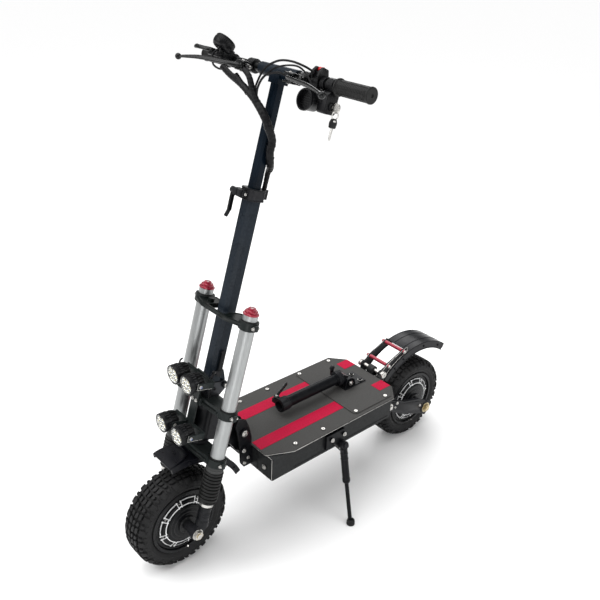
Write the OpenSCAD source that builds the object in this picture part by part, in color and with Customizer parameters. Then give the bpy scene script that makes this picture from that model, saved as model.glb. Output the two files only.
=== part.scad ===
// Electric kick scooter with folding stem, twin-tube fork and swing-arm rear.
// Millimetres. +X is forward, +Y the rider's left, +Z up. z = 0 is the ground.
// Positions are written from the ground point under the front axle and then
// shifted so that the origin is under the middle of the whole machine.

/* [Wheels] */
// Distance between the two axles
wheelbase = 917; // [909:1:925]
// Tyre outside radius
tyre_r = 142.5; // [142:0.5:143]
// Half of the flat tread width
tread_half = 30; // [26:1:31]
// Tread notches round each shoulder
tread_notches = 26; // [16:1:30]
// Axle radius
axle_r = 8; // [7:0.5:8.5]

/* [Fork] */
// Lean of the steering axis from vertical
rake = 15.6; // [15.2:0.1:16]
// Half distance between the fork tubes
fork_half = 92; // [91:0.5:93]
// Fork tube outside radius
tube_r = 19; // [18.5:0.25:19]
// Height of the fork tube top along the fork
tube_top = 620; // [612:1:630]
// Thickness of the upper clamp plate
clamp_t = 12; // [10:1:14]

/* [Stem] */
// Width of the chamfered square outer stem
stem_w = 40; // [38:1:41]
// Width of the chamfered square inner stem
inner_w = 27; // [25:0.5:27]
// Handlebar height along the fork
bar_t = 1179; // [1175:1:1185]
// Half length of the handlebar
bar_half = 290; // [286:1:292]
// Grip radius
grip_r = 16; // [15:0.5:16]

/* [Deck] */
// Height of the deck surface
deck_z = 303; // [301:1:304]
// Half width of the deck top plate
deck_half = 146; // [142:1:148]
// Depth of the deck box under the plate
deck_depth = 73; // [66:1:76]
// Wall of the deck box
deck_wall = 4; // [3:0.5:5]
// Battery pack length
battery_l = 290; // [240:5:300]

/* [Rear] */
// Rear fender outside radius
rfender_r = 219; // [214:1:222]
// Half width of the rear fender
rfender_half = 48; // [46:1:50]
// Coils of the shock spring
coils = 6; // [5:1:7]

/* [Stand and seat post] */
// Radius of the kickstand rod
stand_r = 6; // [5:0.5:7]
// Seat post outside radius
post_r = 17; // [16.5:0.5:17.5]
// Seat post inside radius
post_ri = 14; // [13:0.25:14]

/* [Lamps] */
// Lamp body radius
lamp_r = 24.5; // [22:0.5:24.5]
// Cooling fins on each lamp
lamp_fins = 5; // [3:1:5]

/* [Hidden] */
$fn = 48;
xs = wheelbase / 2;
ax = -wheelbase;
az = tyre_r;
so = -14;                 // stem and steering axis behind the axle line
to = -12;                 // fork tubes behind the axle line
yt = fork_half;
box_z1 = deck_z - 4;
box_z0 = box_z1 - deck_depth;
c1a = 341; c1b = 361;     // upper of the two lower clamps
c2a = 205; c2b = 225;     // lowest clamp
px = -722; pz = 232;      // swing pivot
sx = -745; sz = 313;      // shock top eye
ex = -756; ez = 213;      // swing arm cross bar, shock bottom eye
hx = -615; hz = 327;      // seat post hinge
screw_xy = [for (x = [-310, -414, -545, -671]) for (s = [-1, 1]) [x, s * 126]];
lamps = [[30, 418], [-30, 418], [36, 278], [-36, 278]];

module fr() { translate([xs, 0, 0]) children(); }
// Fork frame: x forward of the axle line, y left, z along the fork from the axle
module ff() { translate([xs, 0, tyre_r]) rotate([0, -rake, 0]) children(); }
module yc(r, l) { rotate([-90, 0, 0]) cylinder(r = r, h = l, center = true); }
module xc(r, l) { rotate([0, 90, 0]) cylinder(r = r, h = l); }
module yrev() { rotate([-90, 0, 0]) rotate_extrude() children(); }
module xz(h) { rotate([90, 0, 0]) linear_extrude(height = h, center = true) children(); }
module both(y) { for (s = [-1, 1]) translate([0, s * y, 0]) children(); }
module rod(p, q, r) {
  d = q - p; l = norm(d);
  translate(p) rotate([0, acos(d[2] / l), atan2(d[1], d[0])]) cylinder(r = r, h = l);
}
module path(pts, r) {
  for (i = [0 : len(pts) - 2]) rod(pts[i], pts[i + 1], r);
  for (i = [1 : len(pts) - 2]) translate(pts[i]) sphere(r = r + 0.25);
}
module csq(w, c) {
  h = w / 2;
  polygon([[h, h - c], [h - c, h], [c - h, h], [-h, h - c], [-h, c - h], [c - h, -h], [h - c, -h], [h, c - h]]);
}
module arc(r0, r1, a0, a1, y0, y1) {
  rotate([90, 0, 0]) rotate([0, 0, a0]) rotate_extrude(angle = a1 - a0)
    polygon([[r0, y0], [r1, y0], [r1, y1], [r0, y1]]);
}

// ---------------------------------------------------------------- deck
module deck_outline(dx, dy, rear) {
  polygon([[-216 - dx, 111 - dy], [-290 - dx, deck_half - dy], [-690, deck_half - dy], [rear, 100],
    [rear, -100], [-690, dy - deck_half], [-290 - dx, dy - deck_half], [-216 - dx, dy - 111]]);
}
module deck_shell() { color([0.13, 0.14, 0.15]) fr() difference() {
  translate([0, 0, box_z0]) linear_extrude(height = deck_depth)
    polygon([[-220, 135], [-224, 136], [-690, 136], [-700, 126], [-700, -126], [-690, -136], [-224, -136], [-220, -135]]);
  translate([0, 0, box_z0 + deck_wall]) linear_extrude(height = deck_depth - deck_wall - 7)
    polygon([[-224, 131], [-225, 132], [-688, 132], [-696, 124], [-696, -124], [-688, -132], [-225, -132], [-224, -131]]);
  translate([0, 0, box_z1 - 8]) linear_extrude(height = 10)
    polygon([[-240, 90], [-298, 116], [-680, 116], [-680, -116], [-298, -116], [-240, -90]]);
  for (p = screw_xy) translate([p[0], p[1], box_z1 - 10]) cylinder(r = 2.6, h = 12);
} }
module deck_top_plate() { color([0.3, 0.3, 0.3]) fr() difference() {
  translate([0, 0, box_z1]) linear_extrude(height = 4) deck_outline(0, 0, -730.5);
  for (p = screw_xy) translate([p[0], p[1], box_z1 - 1]) cylinder(r = 2.6, h = 6);
} }
module rear_deck_plate() { color([0.2, 0.2, 0.2]) fr() difference() {
  translate([0, 0, deck_z]) linear_extrude(height = 3)
    polygon([[-534, 128], [-542, 135], [-686, 135], [-727, 97], [-727, -97], [-686, -135], [-542, -135], [-534, -128]]);
  for (p = screw_xy) if (p[0] < -530) translate([p[0], p[1], deck_z - 1]) cylinder(r = 2.6, h = 6);
} }
module grip_stripes() { color([0.8, 0.05, 0.2]) fr() {
  for (s = [-1, 1]) {
    translate([-533, s * 67 - 20, deck_z]) cube([313, 40, 0.9]);
    translate([-726, s * 77 - 19, deck_z + 3]) cube([46, 38, 0.9]);
  }
} }
module screw(l) { cylinder(r = 2.5, h = l); translate([0, 0, l]) difference() { cylinder(r = 5.5, h = 3.2); translate([0, 0, 1.2]) cylinder(r = 2.4, h = 3, $fn = 6); } }
module deck_fasteners() { color([0.7, 0.7, 0.72]) {
  fr() for (p = screw_xy) translate([p[0], p[1], box_z1 - 8]) screw(p[0] < -530 ? 15 : 12);
  swing_pivot();
} }
module battery_pack() { color([0.1, 0.3, 0.6]) fr()
  translate([-300 - battery_l, -100, box_z0 + deck_wall]) cube([battery_l, 200, 56]); }
module controllers() { color([0.6, 0.6, 0.62]) fr()
  for (s = [-1, 1]) translate([-690, s * 58 - 42, box_z0 + deck_wall]) difference() {
    cube([84, 84, 44]);
    for (i = [0 : 4]) translate([10 + i * 15, -1, 38]) cube([6, 86, 8]);
  } }

// ---------------------------------------------------------------- neck
module neck_bracket() { color([0.05, 0.05, 0.06]) fr() difference() {
  union() {
    both(47) xz(6) polygon([[-220, 236], [-220, 298], [-214, 298], [-214, 335], [-196, 392], [-172, 402],
      [-163, 385], [-178, 300], [-180, 252], [-190, 236]]);
    xz(50) polygon([[-213, 262], [-213, 330], [-196, 388], [-172, 400], [-128, 441], [-100.9, 451.8],
      [-78, 369.9], [-99, 360], [-136, 345], [-160, 316], [-181, 285]]);
    xz(90) polygon([[-220, 236], [-220, 298], [-213, 298], [-213, 236]]);
    xz(90) polygon([[-206, 332], [-192, 388], [-184, 388], [-198, 332]]);
    for (s = [-1, 1]) for (b = [[-189, 354, 10], [-186, 298, 7]])
      translate([b[0], s * 52.5, b[1]]) yc(b[2], 7);
  }
  translate([0, 0, tyre_r]) rotate([0, -rake, 0]) translate([so, 0, 220]) { cylinder(r = 26.08, h = 140); cylinder(r = 29.1, h = 19.1); translate([0, 0, 106.9]) cylinder(r = 29.1, h = 33); }
} }
module head_tube() { color([0.06, 0.06, 0.07]) ff() difference() {
  translate([so, 0, 229]) { cylinder(r = 26, h = 108); cylinder(r = 29, h = 10); translate([0, 0, 98]) cylinder(r = 29, h = 10); }
  translate([so, 0, 200]) cylinder(r = 21, h = 160);
} }
module headset_bearings() { color([0.75, 0.75, 0.77]) ff()
  for (t = [230, 325]) translate([so, 0, t]) difference() { cylinder(r = 20.97, h = 11); translate([0, 0, -1]) cylinder(r = 15.05, h = 13); } }

// ---------------------------------------------------------------- kickstand
module kickstand_bracket() { color([0.05, 0.05, 0.05]) fr() {
  difference() {
    union() {
      translate([-483, 136.02, 240]) cube([70, 9, 46]);
      translate([-483, 136.02, 222]) cube([22, 9, 20]);
      for (b = [[-432, 269], [-480, 269]]) translate([b[0], 147, b[1]]) yc(6, 5);
    }
    translate([-477, 150, 232]) rotate([-70.1, 0, -1.5]) translate([0, 0, -9.2]) cylinder(r = 12.9, h = 30);
  }
  translate([-477, 150, 232]) rotate([-70.1, 0, -1.5]) {
    translate([0, 0, -12.4]) cylinder(r = 5, h = 26.4);
    translate([0, 0, 10.4]) cylinder(r = 8, h = 5);
  }
} }
module kickstand() { color([0.05, 0.05, 0.05]) fr() {
  difference() {
    union() {
      translate([-477, 150, 232]) rotate([-70.1, 0, -1.5]) translate([0, 0, -8.6]) cylinder(r = 12, h = 18.6);
      rod([-476, 153, 222], [-465.6, 184, 125], 11);
      rod([-466.4, 181.6, 132], [-452.5, 223.4, 12], stand_r);
      translate([-466, 183, 128]) sphere(r = 11.6);
      translate([-451, 228, 0]) cylinder(r = 11, h = 15);
    }
    translate([-477, 150, 232]) rotate([-70.1, 0, -1.5]) translate([0, 0, -20]) cylinder(r = 5.08, h = 50);
  }
} }

// ---------------------------------------------------------------- tail
module tail_plates() { color([0.07, 0.07, 0.08]) fr() difference() {
  union() {
    both(38) xz(6) {
      polygon([[-700, 222], [-700, 298.9], [-733, 298.9], [-733, 308], [-775, 340], [-852, 368], [-862, 361],
        [-850, 350], [-796, 326], [-766, 300], [-744, 262], [-741, 228], [-722, 214], [-706, 216]]);
      translate([sx, sz]) circle(r = 12.5);
    }
    translate([-706, -35, 240]) cube([6, 70, 50]);
    both(64) translate([-708, 0, 236]) rotate([0, 90, 0]) translate([0, 0, 0]) cylinder(r = 6, h = 8);
  }
  translate([px, 0, pz]) yc(8.02, 120);
  translate([sx, 0, sz]) yc(6.02, 120);
} }
module spacer_bars() { color([0.8, 0.04, 0.08]) fr()
  for (p = [[-841, 361], [-772, 333]]) {
    translate([p[0], 0, p[1]]) yc(6, 69.9);
    both(44) translate([p[0], 0, p[1]]) yc(5.5, 5.9);
  } }
module swing_pivot() { fr() {
  translate([px, 0, pz]) { yc(8, 212); both(107.5) yc(12, 7); }
  translate([sx, 0, sz]) { yc(6, 84); both(44.5) yc(10, 6.8); }
} }
module channel(r1, skirt, hw, a0, a1) {
  rotate([90, 0, 0]) rotate([0, 0, a0]) rotate_extrude(angle = a1 - a0)
    polygon([[r1 - 3, hw - 2.5], [r1 - skirt, hw - 2.5], [r1 - skirt, hw], [r1, hw], [r1, -hw], [r1 - skirt, -hw], [r1 - skirt, 2.5 - hw], [r1 - 3, 2.5 - hw]]);
}
module rear_fender() { color([0.05, 0.05, 0.07]) fr() translate([ax, 0, az]) difference() {
  channel(rfender_r, 24, rfender_half, 42, 127);
  arc(150, 260, 30, 76, -41.05, 41.05);
} }
module seat_hinge_base() { color([0.1, 0.1, 0.1]) fr() {
  difference() {
    union() {
      translate([-684, -30, deck_z + 3.02]) cube([88, 60, 5]);
      both(22) xz(12) polygon([[-640, 311], [-634, 330], [-622, 340], [-608, 340], [-600, 330], [-598, 311]]);
      for (b = [[-670, -19], [-670, 19]]) translate([b[0], b[1], 311]) cylinder(r = 6, h = 6, $fn = 6);
    }
    translate([hx, 0, hz]) yc(6.02, 70);
  }
  translate([hx, 0, hz]) { yc(6, 60); both(30.5) yc(9, 5); }
} }

// ---------------------------------------------------------------- fork, upper part
module ring_holes(t0, t1, r) { both(yt) translate([to, 0, t0 - 1]) cylinder(r = r, h = t1 - t0 + 2); }
module upper_clamp() { color([0.04, 0.07, 0.06]) ff() difference() {
  union() {
    both(yt) translate([to, 0, 584]) cylinder(r = 25, h = 20);
    translate([0, 0, 600 - clamp_t]) linear_extrude(height = clamp_t)
      polygon([[-34, 74], [-30, 46], [-14, 32], [22, 32], [22, -32], [-14, -32], [-30, -46], [-34, -74], [-34, -92], [10, -92],
        [26, -50], [26, 50], [10, 92], [-34, 92]]);
    translate([0, -50, 600]) cylinder(r = 8, h = 9);
    both(yt + 27) translate([to - 6, 0, 594]) rotate([0, 90, 0]) cylinder(r = 5, h = 14);
    both(yt + 25) translate([to - 6, -3, 586]) cube([12, 6, 16]);
  }
  ring_holes(584, 604, tube_r + 0.03);
  translate([-60, -26, 570]) cube([69, 52, 60]);
} }
module lower_clamps() { color([0.04, 0.05, 0.05]) ff() difference() {
  union() for (t = [[c1a, c1b], [c2a, c2b]]) {
    both(yt) translate([to, 0, t[0]]) cylinder(r = 25, h = 20);
    translate([0, 0, t[0]]) linear_extrude(height = 20)
      polygon([[-34, 92], [-40, 40], [-40, -40], [-34, -92], [10, -92], [14, -40], [14, 40], [10, 92]]);
    if (t[0] == c1a) translate([10, -20, c1a]) cube([12, 40, 20]);
    both(yt + 25) translate([to - 6, -3, t[0] + 2]) cube([12, 6, 16]);
  }
  ring_holes(c1a, c1b, tube_r + 0.03);
  ring_holes(c2a, c2b, tube_r + 0.03);
  translate([so, 0, 190]) cylinder(r = 15.02, h = 200);
} }
module steerer() { color([0.6, 0.6, 0.62]) ff() difference() {
  union() {
    translate([so, 0, c2a]) cylinder(r = 15, h = c1b - c2a);
    translate([so, 0, c2b + 0.3]) cylinder(r = 20, h = 3);
    translate([so, 0, c1a - 3.3]) cylinder(r = 20, h = 3);
  }
  translate([so, 0, 190]) cylinder(r = 10, h = 200);
} }
module fork_tubes() { color([0.8, 0.8, 0.8]) ff() both(yt) translate([to, 0, 0]) difference() {
  translate([0, 0, 190]) cylinder(r = tube_r, h = tube_top - 190);
  translate([0, 0, 216]) cylinder(r = tube_r - 3, h = tube_top);
  translate([0, 0, 180]) cylinder(r = 12.05, h = 60);
} }
module fork_caps() { color([0.75, 0.04, 0.06]) ff() both(yt) translate([to, 0, 0]) {
  translate([0, 0, tube_top - 12]) cylinder(r = tube_r - 3.05, h = 12);
  translate([0, 0, tube_top]) cylinder(r = 19.5, h = 7, $fn = 64);
  translate([0, 0, tube_top + 7]) cylinder(r = 16, h = 7, $fn = 6);
  translate([0, 0, tube_top + 14]) cylinder(r = 11, h = 4);
} }
module front_fender() { color([0.05, 0.05, 0.06]) fr() translate([0, 0, az]) {
  channel(200, 16, 43, 80, 156);
  rotate([0, -rake, 0]) translate([-18, -16, 198]) cube([28, 32, 7]);
} }
module u_bracket(y, t) {
  translate([0, y, t]) difference() {
    translate([26.02, -28, -8]) cube([46, 56, 16]);
    translate([29, -25.3, -9]) cube([60, 50.6, 18]);
    translate([64, 0, 0]) yc(3.1, 80);
  }
}
module lamp_bracket() { color([0.6, 0.6, 0.62]) ff() {
  difference() {
    union() {
      translate([22.02, -14, 262]) cube([4, 28, 170]);
      translate([22.02, -58, 408]) cube([4, 116, 20]);
      translate([22.02, -64, 268]) cube([4, 128, 20]);
    }
    for (s = [-1, 1]) translate([20, s * 8, 351]) xc(3, 8);
  }
  for (l = lamps) u_bracket(l[0], l[1]);
} }
module lamp_wires() { color([0.05, 0.05, 0.05]) ff() {
  path([[44, -60, 440], [40, -64, 452], [22, -50, 456], [14, -34, 440], [12, -33, 402], [8, -33, 364]], 2.5);
  path([[44, 60, 440], [40, 64, 450], [22, 50, 450], [14, 34, 440], [12, 33, 402], [8, 33, 364]], 2.5);
} }
module stem_hinge() { color([0.35, 0.36, 0.38]) ff() difference() {
  union() {
    translate([-34, -20, c1b + 0.02]) cube([40, 40, 43]);
    both(15.5) xz(9) polygon([[-34, 362], [-48, 380], [-54, 392], [-52, 402], [-44, 405.5], [-34, 404]]);
    translate([6, -10, 372]) cube([5, 20, 28]);
  }
  translate([-44, 0, 395]) yc(5.02, 60);
  translate([so, 0, 350]) cylinder(r = 10, h = 40);
} }

// ---------------------------------------------------------------- stem
module stem_tube() { color([0.12, 0.14, 0.17]) ff() {
  difference() {
    union() {
      translate([so, 0, 406]) linear_extrude(height = 495) csq(stem_w, 8);
      xz(21) { translate([-44, 395]) circle(r = 9.3);
        polygon([[-53.2, 396], [-50, 408], [-40, 432], [-28, 442], [-28, 407], [-34.8, 407], [-34.8, 396]]); }
    }
    translate([so, 0, 424]) linear_extrude(height = 500) csq(stem_w - 6, 7);
    translate([-44, 0, 395]) yc(5.08, 60);
  }
  translate([-44, 0, 395]) { yc(5, 42); both(23) yc(8, 5.6); }
} }
module stem_collar() { color([0.04, 0.04, 0.04]) ff() difference() {
  union() {
    translate([so, 0, 880]) linear_extrude(height = 28) csq(stem_w + 9, 9);
    translate([8, -26, 884]) cube([20, 30, 18]);
    translate([-53, -9, 884]) cube([16, 18, 24]);
  }
  translate([so, 0, 870]) linear_extrude(height = 31.2) csq(stem_w + 0.2, 8);
  translate([so, 0, 890]) linear_extrude(height = 40) csq(inner_w + 0.6, 5.5);
  translate([8, -12, 880]) cube([30, 2.5, 30]);
  translate([-46, 0, 895]) cylinder(r = 7.6, h = 20);
} }
module fold_lever() { color([0.7, 0.7, 0.72]) ff() {
  translate([so, 24, 432]) yc(9, 6.6);
  translate([so - 6, 21.5, 436]) cube([12, 5, 52]);
  translate([so, 24, 488]) yc(6, 5);
} }
module height_lever() { color([0.05, 0.05, 0.05]) ff() difference() {
  union() {
    translate([18, -33, 893]) yc(8, 13.4);
    translate([13, -39.5, 842]) cube([9, 7, 48]);
    rod([17.5, -36, 844], [19, -42, 826], 5);
  }
  translate([18, -26.2, 893]) yc(4, 4);
} }
module bar_tube() { color([0.1, 0.12, 0.14]) ff() difference() {
  union() {
    translate([so, 0, 650]) linear_extrude(height = bar_t - 650 - 8) csq(inner_w, 5);
    translate([so, 0, 650]) linear_extrude(height = 30) csq(stem_w - 6.6, 7);
    translate([so, 0, bar_t]) yc(15, 130);
    translate([so - 16, -17, bar_t - 26]) cube([32, 34, 20]);
  }
  translate([so, 0, bar_t]) yc(11.12, 200);
  translate([so, 0, 640]) linear_extrude(height = bar_t - 650 - 20) csq(inner_w - 5, 4);
} }

// ---------------------------------------------------------------- handlebar
module handlebar() { color([0.05, 0.05, 0.05]) ff() translate([so, 0, bar_t]) difference() {
  yc(11.1, 2 * bar_half - 8); yc(9, 2 * bar_half); } }
module grips() { color([0.04, 0.04, 0.04]) ff() translate([so, 0, bar_t]) both(bar_half - 49.5) difference() {
  union() { yc(grip_r, 99); both(47.5) yc(19.5, 4); for (i = [-3 : 3]) translate([0, i * 11, 0]) yc(grip_r + 0.8, 5); }
  translate([0, 0, 0]) yc(11.13, 200);
} 
ff() translate([so, 0, bar_t]) both(bar_half - 2) yc(10.9, 4); }
module display() { color([0.06, 0.06, 0.06]) ff() difference() {
  union() {
    translate([22, -181, 1209]) rotate([0, -30, 0]) { translate([0, 0, -12]) cylinder(r = 27, h = 24); translate([0, 0, 12]) cylinder(r = 24, h = 1.6); }
    translate([so, -180, bar_t]) yc(16, 18);
    translate([-8, -188, 1172]) cube([34, 16, 28]);
    translate([12, -213, 1178]) cube([28, 38, 7.6]);
  }
  translate([so, -180, bar_t]) yc(11.13, 60);
  translate([33, -206, 1170]) cylinder(r = 3.05, h = 33.05);
} }
module throttle_trigger() { color([0.06, 0.06, 0.06]) ff() {
  translate([33, -206, 1186]) cylinder(r = 7, h = 9.6);
  translate([33, -206, 1179]) cylinder(r = 3, h = 23);
  translate([0, 0, 1187]) linear_extrude(height = 8)
    polygon([[36.5, -203.8], [45.6, -218.6], [49.4, -241.6], [45.2, -265], [35, -265], [38.6, -242], [35.6, -221.2], [28.2, -208.6]]);
  translate([40, -265, 1186.6]) cylinder(r = 6, h = 8.8);
} }
module brake_perches() { color([0.06, 0.06, 0.06]) ff() for (s = [-1, 1]) difference() {
  union() {
    translate([so, s * 98, bar_t]) yc(17, 22);
    translate([-2, s * 97 - 10, 1163]) cube([28, 20, 20]);
    translate([24, s * 86 - 16, 1161]) cube([15, 32, 24]);
    rod([18, s * 74, 1173], [20, s * 118, 1173], 8);
  }
  translate([so, s * 98, bar_t]) yc(11.13, 60);
  translate([24, s * 86 - 24, 1166.7]) cube([30, 48, 12.6]);
  translate([31, s * 84, 1140]) cylinder(r = 3.05, h = 60);
} }
module brake_lever() {
  translate([31, 84, 1167]) cylinder(r = 7, h = 12);
  translate([31, 84, 1160]) cylinder(r = 3, h = 26);
  translate([31, 84, 1173]) rotate([-5.3, 0, 0]) {
    translate([0, 0, -4]) linear_extrude(height = 8)
      polygon([[-2.9, 4.05], [13.6, 16.6], [30.1, 67.4], [44.1, 127.2], [55.2, 169.3], [64.8, 166.7], [53.9, 124.9],
        [39.8, 64.6], [22.6, 9.6], [2.9, -4.05]]);
    translate([60.5, 171, -5]) cylinder(r = 8, h = 10);
  }
}
module brake_lever_left() { color([0.1, 0.1, 0.1]) ff() brake_lever(); }
module brake_lever_right() { color([0.1, 0.1, 0.1]) ff() mirror([0, 1, 0]) brake_lever(); }
module switch_pod() { ff() difference() {
  union() { translate([so, 132, bar_t]) yc(17, 20); translate([-24, 120, 1190]) cube([26, 24, 20]); }
  translate([so, 132, bar_t]) yc(11.13, 60);
  translate([-18, 126, 1200]) cube([14, 12, 12]);
} }
module switch_button() { color([0.6, 0.05, 0.05]) ff() translate([-17.7, 126.3, 1203]) cube([13.4, 11.4, 9.5]); }
module lock_box() { ff() difference() {
  union() {
    translate([so, 176, bar_t]) yc(16, 20);
    translate([-27, 162, 1119]) cube([34, 26, 48]);
    translate([so + 3, 188, 1136]) yc(9, 6);
  }
  translate([so, 176, bar_t]) yc(11.13, 60);
  translate([so + 3, 186, 1136]) yc(4.1, 24);
} }
module horn() { ff() {
  difference() {
    union() {
      translate([-12, 136, 1138]) rotate([0, 90, 0]) cylinder(r = 22, h = 30);
      translate([18, 136, 1138]) rotate([0, 90, 0]) cylinder(r = 24, h = 6);
      translate([-17, 146, 1152]) cube([8, 12, 14]);
      translate([so, 152, bar_t]) yc(15, 12);
    }
    translate([so, 152, bar_t]) yc(11.13, 60);
    translate([12, 136, 1138]) rotate([0, 90, 0]) cylinder(r = 19, h = 20);
  }
} }
module bar_controls() { color([0.05, 0.05, 0.05]) { switch_pod(); lock_box(); horn(); } }
module key() { color([0.75, 0.75, 0.77]) ff() {
  translate([so + 3, 184.5, 1136]) yc(4, 17);
  difference() { translate([so + 3, 202.6, 1136]) xc2(11, 3); translate([so + 3, 204, 1129.5]) rotate([0, 90, 0]) cylinder(r = 2.2, h = 10, center = true); }
} }
module xc2(r, h) { rotate([0, 90, 0]) cylinder(r = r, h = h, center = true); translate([-h / 2, -10, -2.5]) cube([h, 8, 5]); }
module key_ring() { color([0.75, 0.75, 0.77]) ff() {
  translate([so + 3, 204, 1122]) rotate([-90, 0, 0]) rotate_extrude() polygon([[7.7, -0.9], [9.5, -0.9], [9.5, 0.9], [7.7, 0.9]]);
  difference() {
    translate([so + 3, 204, 1104]) rotate([90, 0, 0]) linear_extrude(height = 6, center = true) polygon([[-9, -9], [9, -9], [10, 4], [5, 11], [-5, 11], [-10, 4]]);
    translate([so + 3, 204, 1112]) rotate([90, 0, 0]) cylinder(r = 2.4, h = 10, center = true);
  }
  translate([so - 0.5, 203, 1067]) cube([7, 2, 29]);
} }
module cable_harness() { color([0.03, 0.03, 0.03]) ff() {
  path([[36, -150, 1160], [32, -118, 1146], [32, -70, 1132], [26, -24, 1110], [18, 14, 1080], [8, 26, 1056],
    [-12, 26, 1024], [-14, 26, 972], [-26, 22, 940], [-42, 8, 922], [-46, 0, 912], [-46, 0, 896]], 7);
  path([[38, -62, 1170], [36, -40, 1156], [30, -30, 1122]], 5.5);
  path([[34, -181, 1196], [50, -190, 1178], [52, -176, 1160], [40, -154, 1158]], 2.6);
  path([[8, 132, 1196], [30, 118, 1202], [44, 84, 1206], [40, 40, 1200], [36, 0, 1176], [32, -22, 1130]], 2.6);
  path([[6, 172, 1140], [26, 150, 1172], [40, 100, 1192], [36, 40, 1186], [34, 4, 1160], [32, -16, 1122]], 2.2);
} }

// ---------------------------------------------------------------- fork, lower part and front wheel
module fork_legs() { color([0.05, 0.05, 0.05]) ff() both(yt) difference() {
  union() {
    translate([to, 0, 22]) cylinder(r = 16.5, h = 69);
    translate([to, 0, 85]) cylinder(r = 12, h = 245);
    xz(15) { circle(r = 18); polygon([[-28, 28], [4, 28], [18, 2], [-18, 0]]); }
  }
  yc(axle_r + 0.02, 40);
} }
module boot() { difference() {
  rotate_extrude() polygon(concat([[19.05, 205], [22.5, 205], [22.5, 190]],
    [for (i = [0 : 7]) each [[25, 187.5 - i * 11], [21, 182 - i * 11]]],
    [[24, 97], [13, 97], [13, 101], [18.5, 103]],
    [for (i = [7 : -1 : 0]) each [[18.4, 182 - i * 11], [22.4, 187.5 - i * 11]]], [[19.05, 190]]));
} }
module fork_boots() { color([0.05, 0.05, 0.05]) ff() both(yt) translate([to, 0, 0]) boot(); }
module axle_set(h) {
  yc(axle_r, 2 * h);
  both(51 + 15) yc(12.5, 29);
  both(h - 6) yc(13, 7, $fn = 6);
  both(h - 10.4) yc(15, 2);
  yrev() polygon([[6, -6], [26, -6], [30, -19], [60, -19], [60, 19], [30, 19], [26, 6], [6, 6]]);
}
module front_axle() { color([0.75, 0.65, 0.4]) ff() axle_set(111); }
module rear_axle() { color([0.75, 0.65, 0.4]) fr() translate([ax, 0, az]) axle_set(112); }
module tyre() { difference() {
  yrev() {
    h = [[tyre_r, 8], [tyre_r - 4, 9], [tyre_r - 4, 12], [tyre_r, 13], [tyre_r, tread_half], [tyre_r - 6, 38], [128, 42], [112, 42.5],
      [101, 39], [96, 33], [96, 27], [102, 31], [112, 36], [126, 35.5], [132, 28]];
    polygon(concat(h, [for (i = [len(h) - 1 : -1 : 0]) [h[i][0], -h[i][1]]]));
  }
  for (k = [0 : tread_notches - 1]) for (s = [-1, 1]) rotate([0, (k + s / 4) * 360 / tread_notches, 0])
    translate([tyre_r - 7, s * 38 - 10, -4.5]) cube([12, 20, 9]);
} }
module front_tyre() { color([0.04, 0.04, 0.04]) ff() tyre(); }
module rear_tyre() { color([0.04, 0.04, 0.04]) fr() translate([ax, 0, az]) tyre(); }
module motor() { difference() {
  yrev() {
    h = [[95.95, 24], [95.95, 33.4], [97, 34.9], [97, 38], [90, 38], [88, 33], [78, 34], [76, 37], [70, 38], [69, 41], [56, 43],
      [55, 46], [32, 50], [16, 50], [16, 49]];
    i0 = [[8.05, 49], [8.05, 40], [28, 34], [62, 28], [84, 26]];
    polygon(concat([[90, 20]], h, i0, [for (i = [len(i0) - 1 : -1 : 0]) [i0[i][0], -i0[i][1]]], [for (i = [len(h) - 1 : -1 : 0]) [h[i][0], -h[i][1]]], [[90, -20]]));
  }
  for (k = [0 : 11]) rotate([0, k * 30, 0]) for (s = [-1, 1]) translate([82, s * 34, 0]) yc(2.4, 6);
} }
module front_motor() { color([0.1, 0.1, 0.11]) ff() motor(); }
module rear_motor() { color([0.1, 0.1, 0.11]) fr() translate([ax, 0, az]) motor(); }

// ---------------------------------------------------------------- rear suspension
module swingarm() { color([0.07, 0.07, 0.08]) fr() difference() {
  union() {
    both(95) xz(11) {
      translate([px, pz]) circle(r = 19);
      polygon([[-722, 251], [-770, 231], [-801, 214], [-879, 191], [-907, 174], [-917, 168], [-934, 156], [-934, 130], [-917, 120],
        [-895, 126], [-804, 164], [-722, 213]]);
      translate([ax, az]) circle(r = 24);
    }
    translate([px, 0, pz]) both(67) yc(14, 46);
    both(60) xz(12) polygon([[-722, 246], [-738, 236], [-764, 219], [-762, 205], [-750, 203], [-722, 218]]);
    translate([ex, 0, ez]) yc(8, 180);
  }
  translate([px, 0, pz]) yc(8.06, 240);
  translate([ax, 0, az]) yc(axle_r + 0.02, 240);
} }
sv = [ex - sx, 0, ez - sz]; sl = norm(sv); sa = atan2(-sv[0], -sv[2]);
module sf() { fr() translate([sx, 0, sz]) rotate([0, 180 + sa, 0]) children(); } // z from the top eye to the bottom eye
module shock_body() { color([0.1, 0.1, 0.1]) sf() difference() {
  union() {
    yc(12, 22);
    translate([0, 0, 8]) cylinder(r = 15, h = 10);
    translate([0, 0, 16]) cylinder(r = 9, h = 34);
    translate([0, 0, 14]) cylinder(r = 20, h = 5);
  }
  yc(6.06, 60);
  translate([0, 0, 22]) cylinder(r = 6.05, h = 40);
} }
module shock_shaft() { color([0.75, 0.75, 0.77]) sf() difference() {
  union() {
    translate([0, 0, 32]) cylinder(r = 6, h = sl - 40);
    translate([0, 0, 80]) cylinder(r = 20, h = 4);
    translate([0, 0, sl]) yc(13, 22);
    translate([0, 0, 84]) cylinder(r = 11, h = 6);
  }
  translate([0, 0, sl]) yc(9.4, 60);
} }
module shock_spring() { color([0.1, 0.1, 0.1]) sf()
  for (i = [0 : coils - 1]) translate([0, 0, 22.6 + i * (54.6 / (coils - 1))])
    rotate_extrude() translate([15, 0]) circle(r = 2.7, $fn = 24); }

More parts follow.
